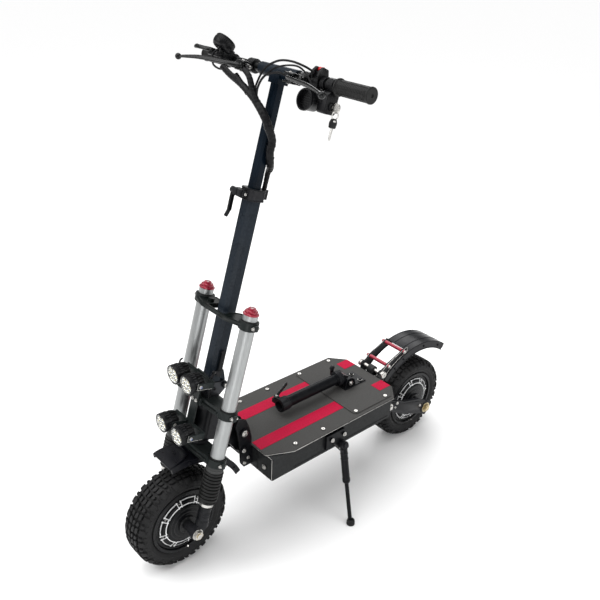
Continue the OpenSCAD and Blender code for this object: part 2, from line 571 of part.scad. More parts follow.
// ---------------------------------------------------------------- seat post
module seat_post() { color([0.05, 0.05, 0.05]) fr() difference() {
  union() {
    translate([-600, 0, 340]) xc(post_r, 245);
    translate([-596, 0, 340]) xc(22, 18);
    translate([-382, 0, 340]) xc(20.5, 26);
    translate([-380, -36, 334]) cube([22, 20, 12]);
    xz(31) polygon([[-622, 315.4], [-604, 315.4], [-596, 320], [-590, 332], [-590, 352], [-604, 352], [-620, 342], [-626, 330], [-626, 322]]);
    translate([-590, -26, 342]) cube([9, 6, 24]);
    translate([-585.5, -23, 366]) yc(8, 6);
  }
  translate([-590, 0, 340]) xc(post_ri, 300);
  translate([hx, 0, hz]) yc(6.08, 60);
  translate([-382, -40, 339]) cube([40, 26, 2]);
} }
module seat_lever() { color([0.06, 0.06, 0.06]) fr() difference() {
  union() {
    translate([-369, -29, 346.3]) cylinder(r = 8, h = 6);
    translate([-369, -29, 346.8]) rotate([0, 0, 207.5]) translate([0, -4, 0]) cube([76, 8, 4.6]);
    translate([-436, -63.9, 345.3]) cylinder(r = 6, h = 8);
  }
} }
module headlamp(i) { ff() translate([64, lamps[i][0], lamps[i][1]]) rotate([0, 90 + rake, 0]) difference() {
  union() {
    translate([0, 0, -2]) cylinder(r = lamp_r, h = 25);
    for (k = [0 : lamp_fins - 1]) translate([0, 0, -6 - k * 3.6]) cylinder(r = 20.5 - k * 1.2, h = 1.8);
    translate([0, 0, -22]) cylinder(r = 12, h = 22);
    yc(3, 57);
    both(29) yc(5.5, 1.9);
  }
  translate([0, 0, 19]) cylinder(r = lamp_r - 2.5, h = 6);
} }
module headlamp_1() { color([0.05, 0.05, 0.06]) headlamp(0); }
module headlamp_2() { color([0.05, 0.05, 0.06]) headlamp(1); }
module headlamp_3() { color([0.05, 0.05, 0.06]) headlamp(2); }
module headlamp_4() { color([0.05, 0.05, 0.06]) headlamp(3); }

deck_shell();
deck_top_plate();
rear_deck_plate();
grip_stripes();
deck_fasteners();
battery_pack();
controllers();
neck_bracket();
head_tube();
headset_bearings();
kickstand_bracket();
tail_plates();
spacer_bars();
rear_fender();
seat_hinge_base();
upper_clamp();
lower_clamps();
steerer();
fork_tubes();
fork_caps();
front_fender();
lamp_bracket();
lamp_wires();
stem_hinge();
stem_tube();
stem_collar();
fold_lever();
height_lever();
bar_tube();
handlebar();
grips();
display();
brake_perches();
bar_controls();
cable_harness();
throttle_trigger();
brake_lever_left();
brake_lever_right();
switch_button();
key();
key_ring();
fork_legs();
fork_boots();
front_axle();
front_tyre();
front_motor();
swingarm();
rear_axle();
rear_tyre();
rear_motor();
shock_body();
shock_shaft();
shock_spring();
kickstand();
seat_post();
seat_lever();
headlamp_1();
headlamp_2();
headlamp_3();
headlamp_4();
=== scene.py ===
import bpy, bmesh, math, random
from mathutils import Vector, Matrix, noise


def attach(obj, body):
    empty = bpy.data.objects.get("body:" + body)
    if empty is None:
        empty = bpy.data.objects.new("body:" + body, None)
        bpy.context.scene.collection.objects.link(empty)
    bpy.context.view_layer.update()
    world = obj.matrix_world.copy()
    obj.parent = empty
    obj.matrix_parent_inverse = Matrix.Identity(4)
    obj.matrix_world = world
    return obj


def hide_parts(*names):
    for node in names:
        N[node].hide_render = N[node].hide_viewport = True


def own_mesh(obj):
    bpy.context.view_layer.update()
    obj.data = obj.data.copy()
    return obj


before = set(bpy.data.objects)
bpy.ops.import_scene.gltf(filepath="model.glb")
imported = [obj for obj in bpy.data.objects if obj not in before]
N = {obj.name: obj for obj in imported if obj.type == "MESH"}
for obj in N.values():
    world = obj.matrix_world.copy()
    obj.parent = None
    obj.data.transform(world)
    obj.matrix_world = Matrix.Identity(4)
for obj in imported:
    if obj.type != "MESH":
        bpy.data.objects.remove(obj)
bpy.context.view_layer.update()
random.seed(7)

# ------------------------------------------------------------------ camera
scene = bpy.context.scene
cam_data = bpy.data.cameras.new("camera")
cam_data.sensor_width = 36.0
cam_data.lens = 738.35 / 600 * 36
cam_data.clip_start, cam_data.clip_end = 0.05, 60
cam = bpy.data.objects.new("camera", cam_data)
scene.collection.objects.link(cam)
_r, _u, _d = Vector((-0.750945, 0.659366, 0.036305)), Vector((-0.279001, -0.366619, 0.887552)), Vector((-0.598532, -0.656373, -0.459275))
cam.matrix_world = Matrix(((_r.x, _u.x, -_d.x, 1.244762), (_r.y, _u.y, -_d.y, 1.322773), (_r.z, _u.z, -_d.z, 1.587987), (0, 0, 0, 1)))
scene.camera = cam
scene.view_settings.view_transform = "Standard"
scene.view_settings.look = "None"

# ------------------------------------------------------------------ fork frame and helpers
RAKE, TR, XS = math.radians(15.6), 0.1425, 0.4585
AX = Vector((-math.sin(RAKE), 0, math.cos(RAKE)))
FW = Vector((math.cos(RAKE), 0, math.sin(RAKE)))
FRONT, REAR = Vector((XS, 0, TR)), Vector((XS - 0.917, 0, TR))
FORK = Matrix(((FW.x, 0, AX.x, FRONT.x), (0, 1, 0, 0), (FW.z, 0, AX.z, FRONT.z), (0, 0, 0, 1)))  # local x forward, y left, z along the fork
DECK = Matrix.Translation((XS, 0, 0))


def dp(x, y, z):
    return Vector((XS + x / 1000, y / 1000, z / 1000))


# ------------------------------------------------------------------ materials
def mat(name, base, rough=0.5, metal=0.0, var=0.25, scale=60.0, bump=0.06, fine=900.0, wear=None, wear_amt=0.5,
        coat=0.0, spec=0.5, dust=0.0, streak=False, sheen=0.0, bevel=0.0006, rvar=0.12):
    m = bpy.data.materials.new(name)
    m.use_nodes = True
    t = m.node_tree
    n, l = t.nodes, t.links
    b = n["Principled BSDF"]
    b.inputs["Metallic"].default_value = metal
    b.inputs["Specular IOR Level"].default_value = spec
    b.inputs["Coat Weight"].default_value = coat
    b.inputs["Coat Roughness"].default_value = 0.12
    b.inputs["Sheen Weight"].default_value = sheen
    tc = n.new("ShaderNodeTexCoord")
    src = tc.outputs["Object"]
    if streak:
        mp = n.new("ShaderNodeMapping")
        mp.inputs["Scale"].default_value = streak
        l.new(src, mp.inputs["Vector"])
        src = mp.outputs["Vector"]
    big = n.new("ShaderNodeTexNoise")
    big.inputs["Scale"].default_value = scale
    big.inputs["Detail"].default_value = 5
    l.new(src, big.inputs["Vector"])
    sml = n.new("ShaderNodeTexNoise")
    sml.inputs["Scale"].default_value = fine
    sml.inputs["Detail"].default_value = 3
    l.new(src, sml.inputs["Vector"])
    dark = [c * (1 - var) for c in base]
    lite = [min(1, c * (1 + var) + 0.0015) for c in base]
    ramp = n.new("ShaderNodeValToRGB")
    ramp.color_ramp.elements[0].position, ramp.color_ramp.elements[1].position = 0.3, 0.72
    ramp.color_ramp.elements[0].color = (*dark, 1)
    ramp.color_ramp.elements[1].color = (*lite, 1)
    l.new(big.outputs["Fac"], ramp.inputs["Fac"])
    col = ramp.outputs["Color"]
    if dust:
        geo = n.new("ShaderNodeNewGeometry")
        sep = n.new("ShaderNodeSeparateXYZ")
        l.new(geo.outputs["Normal"], sep.inputs[0])
        mr = n.new("ShaderNodeMapRange")
        mr.inputs["From Min"].default_value, mr.inputs["From Max"].default_value = 0.2, 1.0
        mr.inputs["To Max"].default_value = dust
        l.new(sep.outputs["Z"], mr.inputs["Value"])
        mul = n.new("ShaderNodeMath"); mul.operation = "MULTIPLY"
        l.new(mr.outputs["Result"], mul.inputs[0]); l.new(big.outputs["Fac"], mul.inputs[1])
        mx = n.new("ShaderNodeMix"); mx.data_type = "RGBA"
        l.new(mul.outputs[0], mx.inputs["Factor"]); l.new(col, mx.inputs["A"])
        mx.inputs["B"].default_value = (0.30, 0.29, 0.27, 1)
        col = mx.outputs["Result"]
    if wear:
        geo2 = n.new("ShaderNodeNewGeometry")
        wr = n.new("ShaderNodeValToRGB")
        wr.color_ramp.elements[0].position, wr.color_ramp.elements[1].position = 0.53, 0.60
        l.new(geo2.outputs["Pointiness"], wr.inputs["Fac"])
        wn = n.new("ShaderNodeTexNoise"); wn.inputs["Scale"].default_value = 180; wn.inputs["Detail"].default_value = 6
        l.new(tc.outputs["Object"], wn.inputs["Vector"])
        wm = n.new("ShaderNodeMath"); wm.operation = "MULTIPLY"
        l.new(wr.outputs["Color"], wm.inputs[0]); l.new(wn.outputs["Fac"], wm.inputs[1])
        wk = n.new("ShaderNodeMath"); wk.operation = "MULTIPLY"; wk.inputs[1].default_value = wear_amt
        l.new(wm.outputs[0], wk.inputs[0])
        mw = n.new("ShaderNodeMix"); mw.data_type = "RGBA"
        l.new(wk.outputs[0], mw.inputs["Factor"]); l.new(col, mw.inputs["A"])
        mw.inputs["B"].default_value = (*wear, 1)
        col = mw.outputs["Result"]
    l.new(col, b.inputs["Base Color"])
    rr = n.new("ShaderNodeMapRange")
    rr.inputs["To Min"].default_value = max(0.03, rough - rvar)
    rr.inputs["To Max"].default_value = min(1, rough + rvar)
    l.new(big.outputs["Fac"], rr.inputs["Value"])
    l.new(rr.outputs["Result"], b.inputs["Roughness"])
    bp = n.new("ShaderNodeBump")
    bp.inputs["Strength"].default_value = bump
    bp.inputs["Distance"].default_value = 0.0006
    l.new(sml.outputs["Fac"], bp.inputs["Height"])
    if bevel:
        bv = n.new("ShaderNodeBevel")
        bv.samples = 4
        bv.inputs["Radius"].default_value = bevel
        l.new(bv.outputs["Normal"], bp.inputs["Normal"])
    l.new(bp.outputs["Normal"], b.inputs["Normal"])
    return m


M = {
    "frame": mat("frame_black", (0.0030, 0.0034, 0.0045), 0.36, 0.0, wear=(0.14, 0.14, 0.15), wear_amt=0.16, bump=0.10, coat=0.03, spec=0.10),
    "clamp": mat("clamp_black", (0.0035, 0.0055, 0.0052), 0.32, 0.0, wear=(0.15, 0.17, 0.17), wear_amt=0.2, bump=0.08, coat=0.03, spec=0.11),
    "deck_side": mat("deck_side", (0.0045, 0.0055, 0.0060), 0.36, 0.0, var=0.25, scale=18, bump=0.07, wear=(0.18, 0.18, 0.18), wear_amt=0.10, coat=0.02, spec=0.08),
    "grip": mat("deck_grip", (0.062, 0.061, 0.059), 0.85, 0.0, spec=0.2, var=0.10, scale=300, bump=0.9, fine=2600, bevel=0.0004),
    "red": mat("stripe_red", (0.41, 0.002, 0.034), 0.66, 0.0, spec=0.15, var=0.12, scale=220, bump=0.6, fine=2400),
    "zinc": mat("zinc", (0.50, 0.49, 0.47), 0.30, 1.0, var=0.15, bump=0.05),
    "gold": mat("gold_zinc", (0.50, 0.42, 0.26), 0.32, 1.0, var=0.2, bump=0.06),
    "fork": mat("fork_silver", (0.33, 0.34, 0.34), 0.40, 0.80, var=0.06, scale=8, bump=0.05, streak=(60, 60, 1.2), rvar=0.06, bevel=0.001),
    "redano": mat("red_anodised", (0.27, 0.002, 0.022), 0.30, 0.30, var=0.15, bump=0.05, coat=0.4),
    "stem": mat("stem_blue_black", (0.0022, 0.0060, 0.0115), 0.30, 0.0, scale=14, bump=0.05, coat=0.01, wear=(0.16, 0.18, 0.2), wear_amt=0.12, spec=0.08),
    "motor": mat("motor_black", (0.0030, 0.0034, 0.0042), 0.30, 0.0, spec=0.12, scale=40, bump=0.10, wear=(0.25, 0.25, 0.25), wear_amt=0.15, coat=0.03),
    "plastic": mat("black_plastic", (0.0035, 0.0036, 0.0044), 0.34, 0.0, spec=0.16, bump=0.25, fine=1600),
    "fender": mat("fender_plastic", (0.0028, 0.0030, 0.0050), 0.30, 0.0, scale=30, bump=0.08, fine=1500, coat=0.05, spec=0.12, bevel=0.0012),
    "rubber": mat("black_rubber", (0.005, 0.005, 0.005), 0.50, 0.0, bump=0.25, fine=1200, spec=0.25),
    "tyre": mat("tyre_rubber", (0.0075, 0.0075, 0.008), 0.62, 0.0, var=0.4, scale=35, bump=0.4, fine=700, spec=0.22, dust=0.02),
    "bar": mat("bar_black", (0.0038, 0.0042, 0.0045), 0.27, 0.0, spec=0.2, bump=0.04, coat=0.10),
    "cable": mat("cable_sleeve", (0.0034, 0.0034, 0.0042), 0.42, 0.0, spec=0.15, bump=0.3, fine=900),
    "button": mat("button_red", (0.45, 0.01, 0.01), 0.3, 0.0, bump=0.05, coat=0.3),
    "battery": mat("battery_wrap", (0.02, 0.08, 0.30), 0.5, 0.0),
    "grey": mat("hinge_grey", (0.022, 0.024, 0.028), 0.36, 0.6, bump=0.1),
    "white": mat("ring_paint", (0.80, 0.81, 0.82), 0.40, 0.0, bump=0.08),
    "spring": mat("spring_paint", (0.02, 0.02, 0.022), 0.25, 0.2, bump=0.05, coat=0.5),
}
use = {
    "frame": "neck_bracket head_tube tail_plates swingarm seat_hinge_base kickstand_bracket kickstand seat_post seat_lever stem_collar height_lever fold_lever fork_legs",
    "clamp": "upper_clamp lower_clamps lamp_bracket",
    "deck_side": "deck_shell",
    "grip": "deck_top_plate rear_deck_plate",
    "red": "grip_stripes",
    "zinc": "deck_fasteners steerer headset_bearings key key_ring shock_shaft",
    "gold": "front_axle rear_axle",
    "fork": "fork_tubes controllers",
    "redano": "fork_caps spacer_bars",
    "stem": "stem_tube bar_tube",
    "grey": "stem_hinge",
    "motor": "front_motor rear_motor headlamp_1 headlamp_2 headlamp_3 headlamp_4 shock_body",
    "bar": "handlebar brake_perches brake_lever_left brake_lever_right throttle_trigger",
    "spring": "shock_spring",
    "plastic": "display bar_controls",
    "fender": "front_fender rear_fender",
    "cable": "cable_harness lamp_wires",
    "battery": "battery_pack",
    "button": "switch_button",
    "rubber": "grips fork_boots",
    "tyre": "front_tyre rear_tyre",
}
for key, names in use.items():
    for nm in names.split():
        o = N[nm]
        o.data.materials.clear()
        o.data.materials.append(M[key])

# ------------------------------------------------------------------ details
M["cuff"] = mat("fork_cuff", (0.022, 0.023, 0.023), 0.55, 0.0, bump=0.3, fine=1200)
M["reflector"] = mat("lamp_reflector", (0.80, 0.80, 0.78), 0.16, 0.95, var=0.08, bump=0.12, fine=1400, bevel=0)
M["led"] = mat("lamp_led", (0.78, 0.72, 0.50), 0.25, 0.0, var=0.08, bevel=0)
M["screen"] = mat("display_glass", (0.010, 0.011, 0.012), 0.08, 0.0, var=0.2, bump=0.01, coat=0.8, bevel=0)
lens = mat("lamp_lens", (0.95, 0.96, 0.96), 0.05, 0.0, var=0.01, bump=0.05, fine=300, bevel=0, rvar=0.02)
lens.node_tree.nodes["Principled BSDF"].inputs["Transmission Weight"].default_value = 1.0
lens.node_tree.nodes["Principled BSDF"].inputs["IOR"].default_value = 1.2
M["lens"] = lens
M["blue"] = mat("nylon_blue", (0.02, 0.10, 0.42), 0.4, 0.0, bump=0.1)
def link(me, name, material, body, replaces=()):
    o = bpy.data.objects.new(name, me)
    scene.collection.objects.link(o)
    if not isinstance(material, (list, tuple)):
        material = [material]
    for m in material:
        o.data.materials.append(m)
    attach(o, body)
    if replaces:
        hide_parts(*replaces)
    return o


class B:
    """Collects geometry for one piece. All input in millimetres of the local frame T."""

    def __init__(self, T=FORK):
        self.bm = bmesh.new()
        self.T = T @ Matrix.Scale(0.001, 4)
        self.mi = 0

    def _done(self, verts, M=None):
        X = self.T @ (M or Matrix.Identity(4))
        for v in verts:
            v.co = X @ v.co
        faces = set(f for v in verts for f in v.link_faces)
        for f in faces:
            f.material_index = self.mi

    def lathe(self, prof, M=None, seg=48, a0=0.0, a1=360.0):
        full = abs(a1 - a0) >= 360
        k = seg if full else seg + 1
        rings = []
        for r, z in prof:
            if r < 1e-6:
                rings.append([self.bm.verts.new((0, 0, z))])
            else:
                rings.append([self.bm.verts.new((r * math.cos(math.radians(a0 + (a1 - a0) * i / seg)), r * math.sin(math.radians(a0 + (a1 - a0) * i / seg)), z)) for i in range(k)])
        for a, b in zip(rings, rings[1:]):
            n = seg
            for i in range(n):
                j = (i + 1) % k if full else i + 1
                if len(a) == 1 and len(b) == 1:
                    continue
                if len(a) == 1:
                    self.bm.faces.new((a[0], b[j], b[i]))
                elif len(b) == 1:
                    self.bm.faces.new((a[i], a[j], b[0]))
                else:
                    self.bm.faces.new((a[i], a[j], b[j], b[i]))
        self._done([v for r in rings for v in r], M)

    def box(self, lo, hi, bevel=1.0, M=None, seg=2):
        r = bmesh.ops.create_cube(self.bm, size=1)
        vs = r["verts"]
        c, s = [(a + b) / 2 for a, b in zip(lo, hi)], [b - a for a, b in zip(lo, hi)]
        for v in vs:
            v.co = Vector([c[i] + v.co[i] * s[i] for i in range(3)])
        if bevel:
            es = list(set(e for v in vs for e in v.link_edges))
            g = bmesh.ops.bevel(self.bm, geom=es, offset=bevel, segments=seg, affect="EDGES", profile=0.5)
            vs = list(set(v for f in g["faces"] for v in f.verts) | set(v for v in vs if v.is_valid))
        self._done(vs, M)

    def prism(self, pts, y0, y1, bevel=1.0, M=None, seg=2):
        """polygon in local x,z extruded along y"""
        a = [self.bm.verts.new((x, y0, z)) for x, z in pts]
        b = [self.bm.verts.new((x, y1, z)) for x, z in pts]
        fs = [self.bm.faces.new(a), self.bm.faces.new(b[::-1])]
        n = len(pts)
        for i in range(n):
            fs.append(self.bm.faces.new((a[(i + 1) % n], a[i], b[i], b[(i + 1) % n])))
        bmesh.ops.recalc_face_normals(self.bm, faces=fs)
        vs = a + b
        if bevel:
            es = list(set(e for v in vs for e in v.link_edges))
            g = bmesh.ops.bevel(self.bm, geom=es, offset=bevel, segments=seg, affect="EDGES", profile=0.5)
            vs = list(set(v for f in g["faces"] for v in f.verts) | set(v for v in vs if v.is_valid))
        self._done(vs, M)

    def tube(self, pts, rad, seg=14, caps=True, M=None, wrap=None, steps=0, flat=1.0):
        """pts: list of 3-D points (mm); rad: number or list. steps>0 smooths with Catmull-Rom."""
        P = [Vector(p) for p in pts]
        Rr = rad if isinstance(rad, (list, tuple)) else [rad] * len(P)
        if steps:
            Q, S = [], []
            for i in range(len(P) - 1):
                p0, p1, p2, p3 = P[max(i - 1, 0)], P[i], P[i + 1], P[min(i + 2, len(P) - 1)]
                for k in range(steps):
                    t = k / steps
                    Q.append(0.5 * ((2 * p1) + (p2 - p0) * t + (2 * p0 - 5 * p1 + 4 * p2 - p3) * t * t + (3 * p1 - p0 - 3 * p2 + p3) * t ** 3))
                    S.append(Rr[i] + (Rr[i + 1] - Rr[i]) * t)
            Q.append(P[-1]); S.append(Rr[-1])
            P, Rr = Q, S
        rings, up, s = [], None, 0.0
        for i, p in enumerate(P):
            d = (P[min(i + 1, len(P) - 1)] - P[max(i - 1, 0)]).normalized()
            if up is None:
                up = d.orthogonal().normalized()
            up = (up - d * up.dot(d)).normalized()
            side = d.cross(up)
            if i:
                s += (p - P[i - 1]).length
            ring = []
            for k in range(seg):
                a = 2 * math.pi * k / seg
                rr = Rr[i]
                if wrap:
                    rr *= 1 + wrap[1] * (abs(((s / wrap[0] + k / seg) % 1.0) * 2 - 1) ** 6 * -1.0)
                ring.append(self.bm.verts.new(p + up * (math.cos(a) * rr * flat) + side * (math.sin(a) * rr)))
            rings.append(ring)
        for a, b in zip(rings, rings[1:]):
            for k in range(seg):
                self.bm.faces.new((a[k], a[(k + 1) % seg], b[(k + 1) % seg], b[k]))
        if caps:
            self.bm.faces.new(rings[0][::-1]); self.bm.faces.new(rings[-1])
        self._done([v for r in rings for v in r], M)

    def bolt(self, p, d, r, h, hexr=True, washer=True):
        """bolt head standing on point p, pointing along d (local mm)"""
        d = Vector(d).normalized()
        M = Matrix.Translation(Vector(p)) @ d.to_track_quat("Z", "Y").to_matrix().to_4x4()
        z = 0
        if washer:
            self.lathe([(0, 0), (r * 1.45, 0), (r * 1.5, 0.3), (r * 1.5, 1.0), (r * 1.4, 1.2), (0, 1.2)], M, 28)
            z = 1.2
        if hexr:
            vs = self.lathe([(0, z), (r, z), (r * 1.06, z + h * 0.15), (r * 1.06, z + h * 0.8), (r * 0.9, z + h), (0, z + h)], M, 6)
        else:
            self.lathe([(0, z), (r, z), (r, z + h * 0.7), (r * 0.88, z + h), (r * 0.5, z + h), (r * 0.5, z + h * 0.45), (0, z + h * 0.45)], M, 24)

    def obj(self, name, material, body, replaces=(), smooth=35, weld=True, recalc=True):
        if recalc:
            bmesh.ops.recalc_face_normals(self.bm, faces=self.bm.faces)
        me = bpy.data.meshes.new(name)
        self.bm.to_mesh(me)
        self.bm.free()
        for p in me.polygons:
            p.use_smooth = True
        me.set_sharp_from_angle(angle=math.radians(smooth))
        return link(me, name, material, body, replaces)


def Tr(x, y, z):
    return Matrix.Translation((x, y, z))


def R(axis, deg):
    return Matrix.Rotation(math.radians(deg), 4, axis)


Y_AXIS = R("X", -90)  # local z of a lathe becomes +y

# ---- knobby tyres
def tyre(name, centre, body, node):
    b = B(Matrix.Translation(centre))
    RB = 135.4
    prof = [(96.2, -33), (97.5, -35.5), (101, -38.6), (106, -40.6), (108, -41.2), (109, -41.9), (110.5, -41.9), (111.5, -41.3), (119, -41.2), (124, -40.4),
            (129, -37.6), (132.5, -33.5), (134.6, -28), (RB, -18), (RB + 0.3, 0)]
    prof += [(r, -y) for r, y in prof[-2::-1]]
    prof += [(100, 29), (104, 26), (104, -26), (100, -29), (96.2, -33)]
    b.lathe(prof, Y_AXIS, 96)
    # surface map: v is the distance across from the middle, mm
    path = [(RB + 0.3, 0), (RB, 18), (134.6, 28), (132.5, 33.5), (129, 37.6), (124, 40.4), (119, 41.2), (112, 41.3)]
    cum = [0]
    for p, q in zip(path, path[1:]):
        cum.append(cum[-1] + math.hypot(q[0] - p[0], q[1] - p[1]))

    def at(v, h):
        s, v = (1 if v >= 0 else -1), min(abs(v), cum[-1] - 0.01)
        i = max(k for k in range(len(cum) - 1) if cum[k] <= v)
        t = (v - cum[i]) / (cum[i + 1] - cum[i])
        (r0, y0), (r1, y1) = path[i], path[i + 1]
        def nrm(j):
            a, c = path[max(j - 1, 0)], path[min(j + 1, len(path) - 1)]
            d = Vector((c[0] - a[0], c[1] - a[1])) if j else Vector((0, 1))
            return Vector((d.y, -d.x)).normalized()
        n = (nrm(i) * (1 - t) + nrm(i + 1) * t).normalized()
        return r0 + (r1 - r0) * t + n.x * h, s * (y0 + (y1 - y0) * t + n.y * h)

    PITCH, CNT = 360 / 22, 22

    def block(poly, h, k, inset=0.9):
        cu = sum(p[0] for p in poly) / len(poly); cv = sum(p[1] for p in poly) / len(poly)
        dense = []
        n = len(poly)
        for i in range(n):
            p, q = poly[i], poly[(i + 1) % n]
            m = max(1, int(math.hypot(q[0] - p[0], q[1] - p[1]) / 7))
            for j in range(m):
                dense.append((p[0] + (q[0] - p[0]) * j / m, p[1] + (q[1] - p[1]) * j / m))
        low, mid, top = [], [], []
        for u, v in dense:
            d = math.hypot(u - cu, v - cv)
            f = max(0, (d - inset) / d)
            f2 = max(0, (d - inset - 0.7) / d)
            for lst, ff, hh in ((low, 1.0, -1.2), (mid, f, h - 0.5), (top, f2, h)):
                uu, vv = cu + (u - cu) * ff, cv + (v - cv) * ff
                r, y = at(vv, hh)
                a = math.radians(PITCH * k) + uu / 140.0
                lst.append(b.bm.verts.new((r * math.cos(a), y, r * math.sin(a))))
        n = len(dense)
        for A, C in ((low, mid), (mid, top)):
            for i in range(n):
                b.bm.faces.new((A[i], A[(i + 1) % n], C[(i + 1) % n], C[i]))
        r, y = at(cv, h)
        a = math.radians(PITCH * k) + cu / 140.0
        c = b.bm.verts.new((r * math.cos(a), y, r * math.sin(a)))
        for i in range(n):
            b.bm.faces.new((top[i], top[(i + 1) % n], c))
        b._done(low + mid + top + [c])

    for k in range(CNT):
        for s in (1, -1):
            kk = k + (0.5 if s < 0 else 0)
            block([(-15, s * 1.2), (-4, s * 1.2), (3, s * 5), (3, s * 12.5), (-9, s * 14), (-15, s * 9)], 6.6, kk)
            block([(6, s * 2.0), (18, s * 2.0), (21, s * 7), (19, s * 13), (8, s * 11)], 6.6, kk)
            block([(-12, s * 17), (2, s * 15.5), (7, s * 20), (7, s * 27), (-7, s * 27.5), (-12, s * 24)], 6.7, kk)
            block([(10, s * 15.5), (22, s * 17), (23, s * 24), (19, s * 27.5), (11, s * 25)], 6.7, kk)
            block([(-13, s * 30.5), (5, s * 30), (6, s * 43), (-1, s * 46), (-11, s * 45)], 5.2, kk, 1.2)
            block([(10, s * 30), (22, s * 30.5), (20, s * 39), (12, s * 39)], 5.0, kk, 1.0)
            block([(11, s * 42.5), (20, s * 42.5), (18, s * 51), (12, s * 51)], 1.3, kk, 0.5)
            block([(-9, s * 49), (0, s * 49), (-1, s * 54), (-8, s * 54)], 0.9, kk, 0.5)
    return b.obj(name, M["tyre"], body, [node], smooth=28)


tyre("front_tyre_tread", FRONT, "front_wheel", "front_tyre")
tyre("rear_tyre_tread", REAR, "rear_wheel", "rear_tyre")


# ---- motor covers: painted rings, bolts, cooling ribs
def motor(name, centre, body):
    T = Matrix.Translation(centre)
    b = B(T)
    for s in (1, -1):
        S = Y_AXIS if s > 0 else R("X", 90)
        b.mi = 0
        for r0, r1, y0, y1 in ((74.0, 76.4, 36.4, 35.4), (59.6, 61.8, 42.0, 41.4)):
            for k in range(8):
                b.lathe([(r0, y0 - 0.6), (r0, y0 + 1.3), (r1, y1 + 1.3), (r1, y1 - 0.6)], S, 12, k * 45 + 14.5, k * 45 + 54.5)
        for k in range(8):
            a = k * 45 + 12
            for da in (-4.6, 4.6):
                Mx = S @ R("Z", a + da)
                b.prism([(58.5, 42.6), (78.0, 36.0), (78.0, 38.2), (58.5, 44.2)], -1.0, 1.0, 0, Mx)
            Mx = S @ R("Z", a)
            b.prism([(61.2, 41.8), (63.6, 41.0), (63.6, 42.9), (61.2, 43.6)], -5.0, 5.0, 0, Mx)
        b.mi = 1
        for k in range(8):
            a = math.radians(k * 45 + 12)
            p = S @ Vector((69.5 * math.cos(a), 69.5 * math.sin(a), 38.6))
            d = S.to_3x3() @ Vector((0, 0, 1))
            b.bolt(p, d, 2.8, 2.2, False, False)
        b.mi = 2
        for r, y0, h in ((84, 33.5, 1.5), (48, 45.2, 2.2), (38, 47.3, 2.2)):
            b.lathe([(r - 2.2, y0 - 1), (r - 1.6, y0 + h), (r + 1.6, y0 + h), (r + 2.2, y0 - 1)], S, 96)
        for k in range(16):
            b.prism([(29, 48.5), (53.5, 44.0), (53.5, 45.2), (31, 49.6)], -1.0, 1.0, 0.4, S @ R("Z", k * 22.5 + 5), 1)
        b.lathe([(12, 49), (24, 49), (25.5, 50.5), (25.5, 53.5), (24, 55), (14, 55), (13, 53.5)], S, 48)
        b.mi = 2
        b.lathe([(88.5, 37.0), (88.5, 39.4), (89.5, 40.2), (96.0, 40.2), (97.2, 39.0), (97.2, 36.2), (95, 36)], S, 96)
    b.mi = 1
    b.tube([(0, 38, -90), (0, 45, -84), (0, 50, -80)], [3.2, 3.0, 2.4], 12)
    return b.obj(name, [M["white"], M["zinc"], M["motor"]], body, smooth=30)


motor("front_motor_trim", FRONT, "front_wheel")
motor("rear_motor_trim", REAR, "rear_wheel")

# ---- bellows and cuffs
for s in (1, -1):
    nm = "left" if s > 0 else "right"
    b = B()
    prof = [(20.0, 189.5)]
    for i in range(9):
        c = 184.6 - i * 9.6
        for k in range(9):
            a = -90 + k * 22.5
            prof.append((19.8 + 6.0 * max(0, math.cos(math.radians(a))) ** 0.7, c - 3.9 * math.sin(math.radians(a)) * -1 * -1))
        prof.append((19.4, c - 4.8))
    prof += [(24, 98), (23, 96), (13, 96)]
    b.lathe(prof, Tr(-12, s * 92, 0), 56)
    o = b.obj("bellows_" + nm, M["rubber"], "fork_upper", ["fork_boots"], smooth=50)
    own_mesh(o)
    b = B()
    b.lathe([(19.1, 206.5), (22.2, 206.5), (22.9, 205.6), (22.9, 199), (22.2, 198.4), (22.2, 197.4), (23.4, 196.6), (23.6, 189.8), (22.6, 188.4), (19.4, 188.4), (19.1, 190)], Tr(-12, s * 92, 0), 56)
    b.obj("fork_cuff_" + nm, M["cuff"], "fork_upper", smooth=40)
    # seals above each clamp, silver slider collar, leg trim
    b = B()
    for t in (361.2, 226.0, 604.2, 340.8, 583.8):
        dz = 2.6 if t in (361.2, 226.0, 604.2) else -2.6
        b.lathe([(19.1, t), (22.0, t), (21.6, t + dz * 0.8), (20.4, t + dz), (19.1, t + dz)], Tr(-12, s * 92, 0), 48)
    b.obj("fork_seals_" + nm, M["rubber"], "fork_upper", smooth=40)
    b = B()
    b.lathe([(14, 95.6), (18.0, 95.4), (18.8, 94.6), (18.8, 85.6), (18.0, 84.8), (16.4, 84.6)], Tr(-12, s * 92, 0), 48)
    b.obj("slider_collar_" + nm, M["zinc"], "fork_lower", smooth=40)
    b = B()
    for t0, t1, r in ((82, 79, 17.4), (62, 59, 17.2), (40, 22, 17.4)):
        b.lathe([(16.4, t0), (r, t0 - 0.6), (r, t1 + 0.6), (16.4, t1)], Tr(-12, s * 92, 0), 48)
    b.obj("leg_rings_" + nm, M["frame"], "fork_lower", smooth=40)
    b = B()
    b.lathe([(8, 84.8), (15, 84.8), (15.6, 85.4), (15.6, 86), (15, 86.6), (8, 86.6)], Y_AXIS if s > 0 else R("X", 90), 40)
    b.mi = 0
    b.lathe([(8, 99.6), (15.2, 99.6), (15.8, 100.2), (15.8, 101.2), (15.2, 101.8), (8, 101.8)], Y_AXIS if s > 0 else R("X", 90), 40)
    b.obj("axle_washers_" + nm, M["zinc"], "fork_lower", smooth=40)

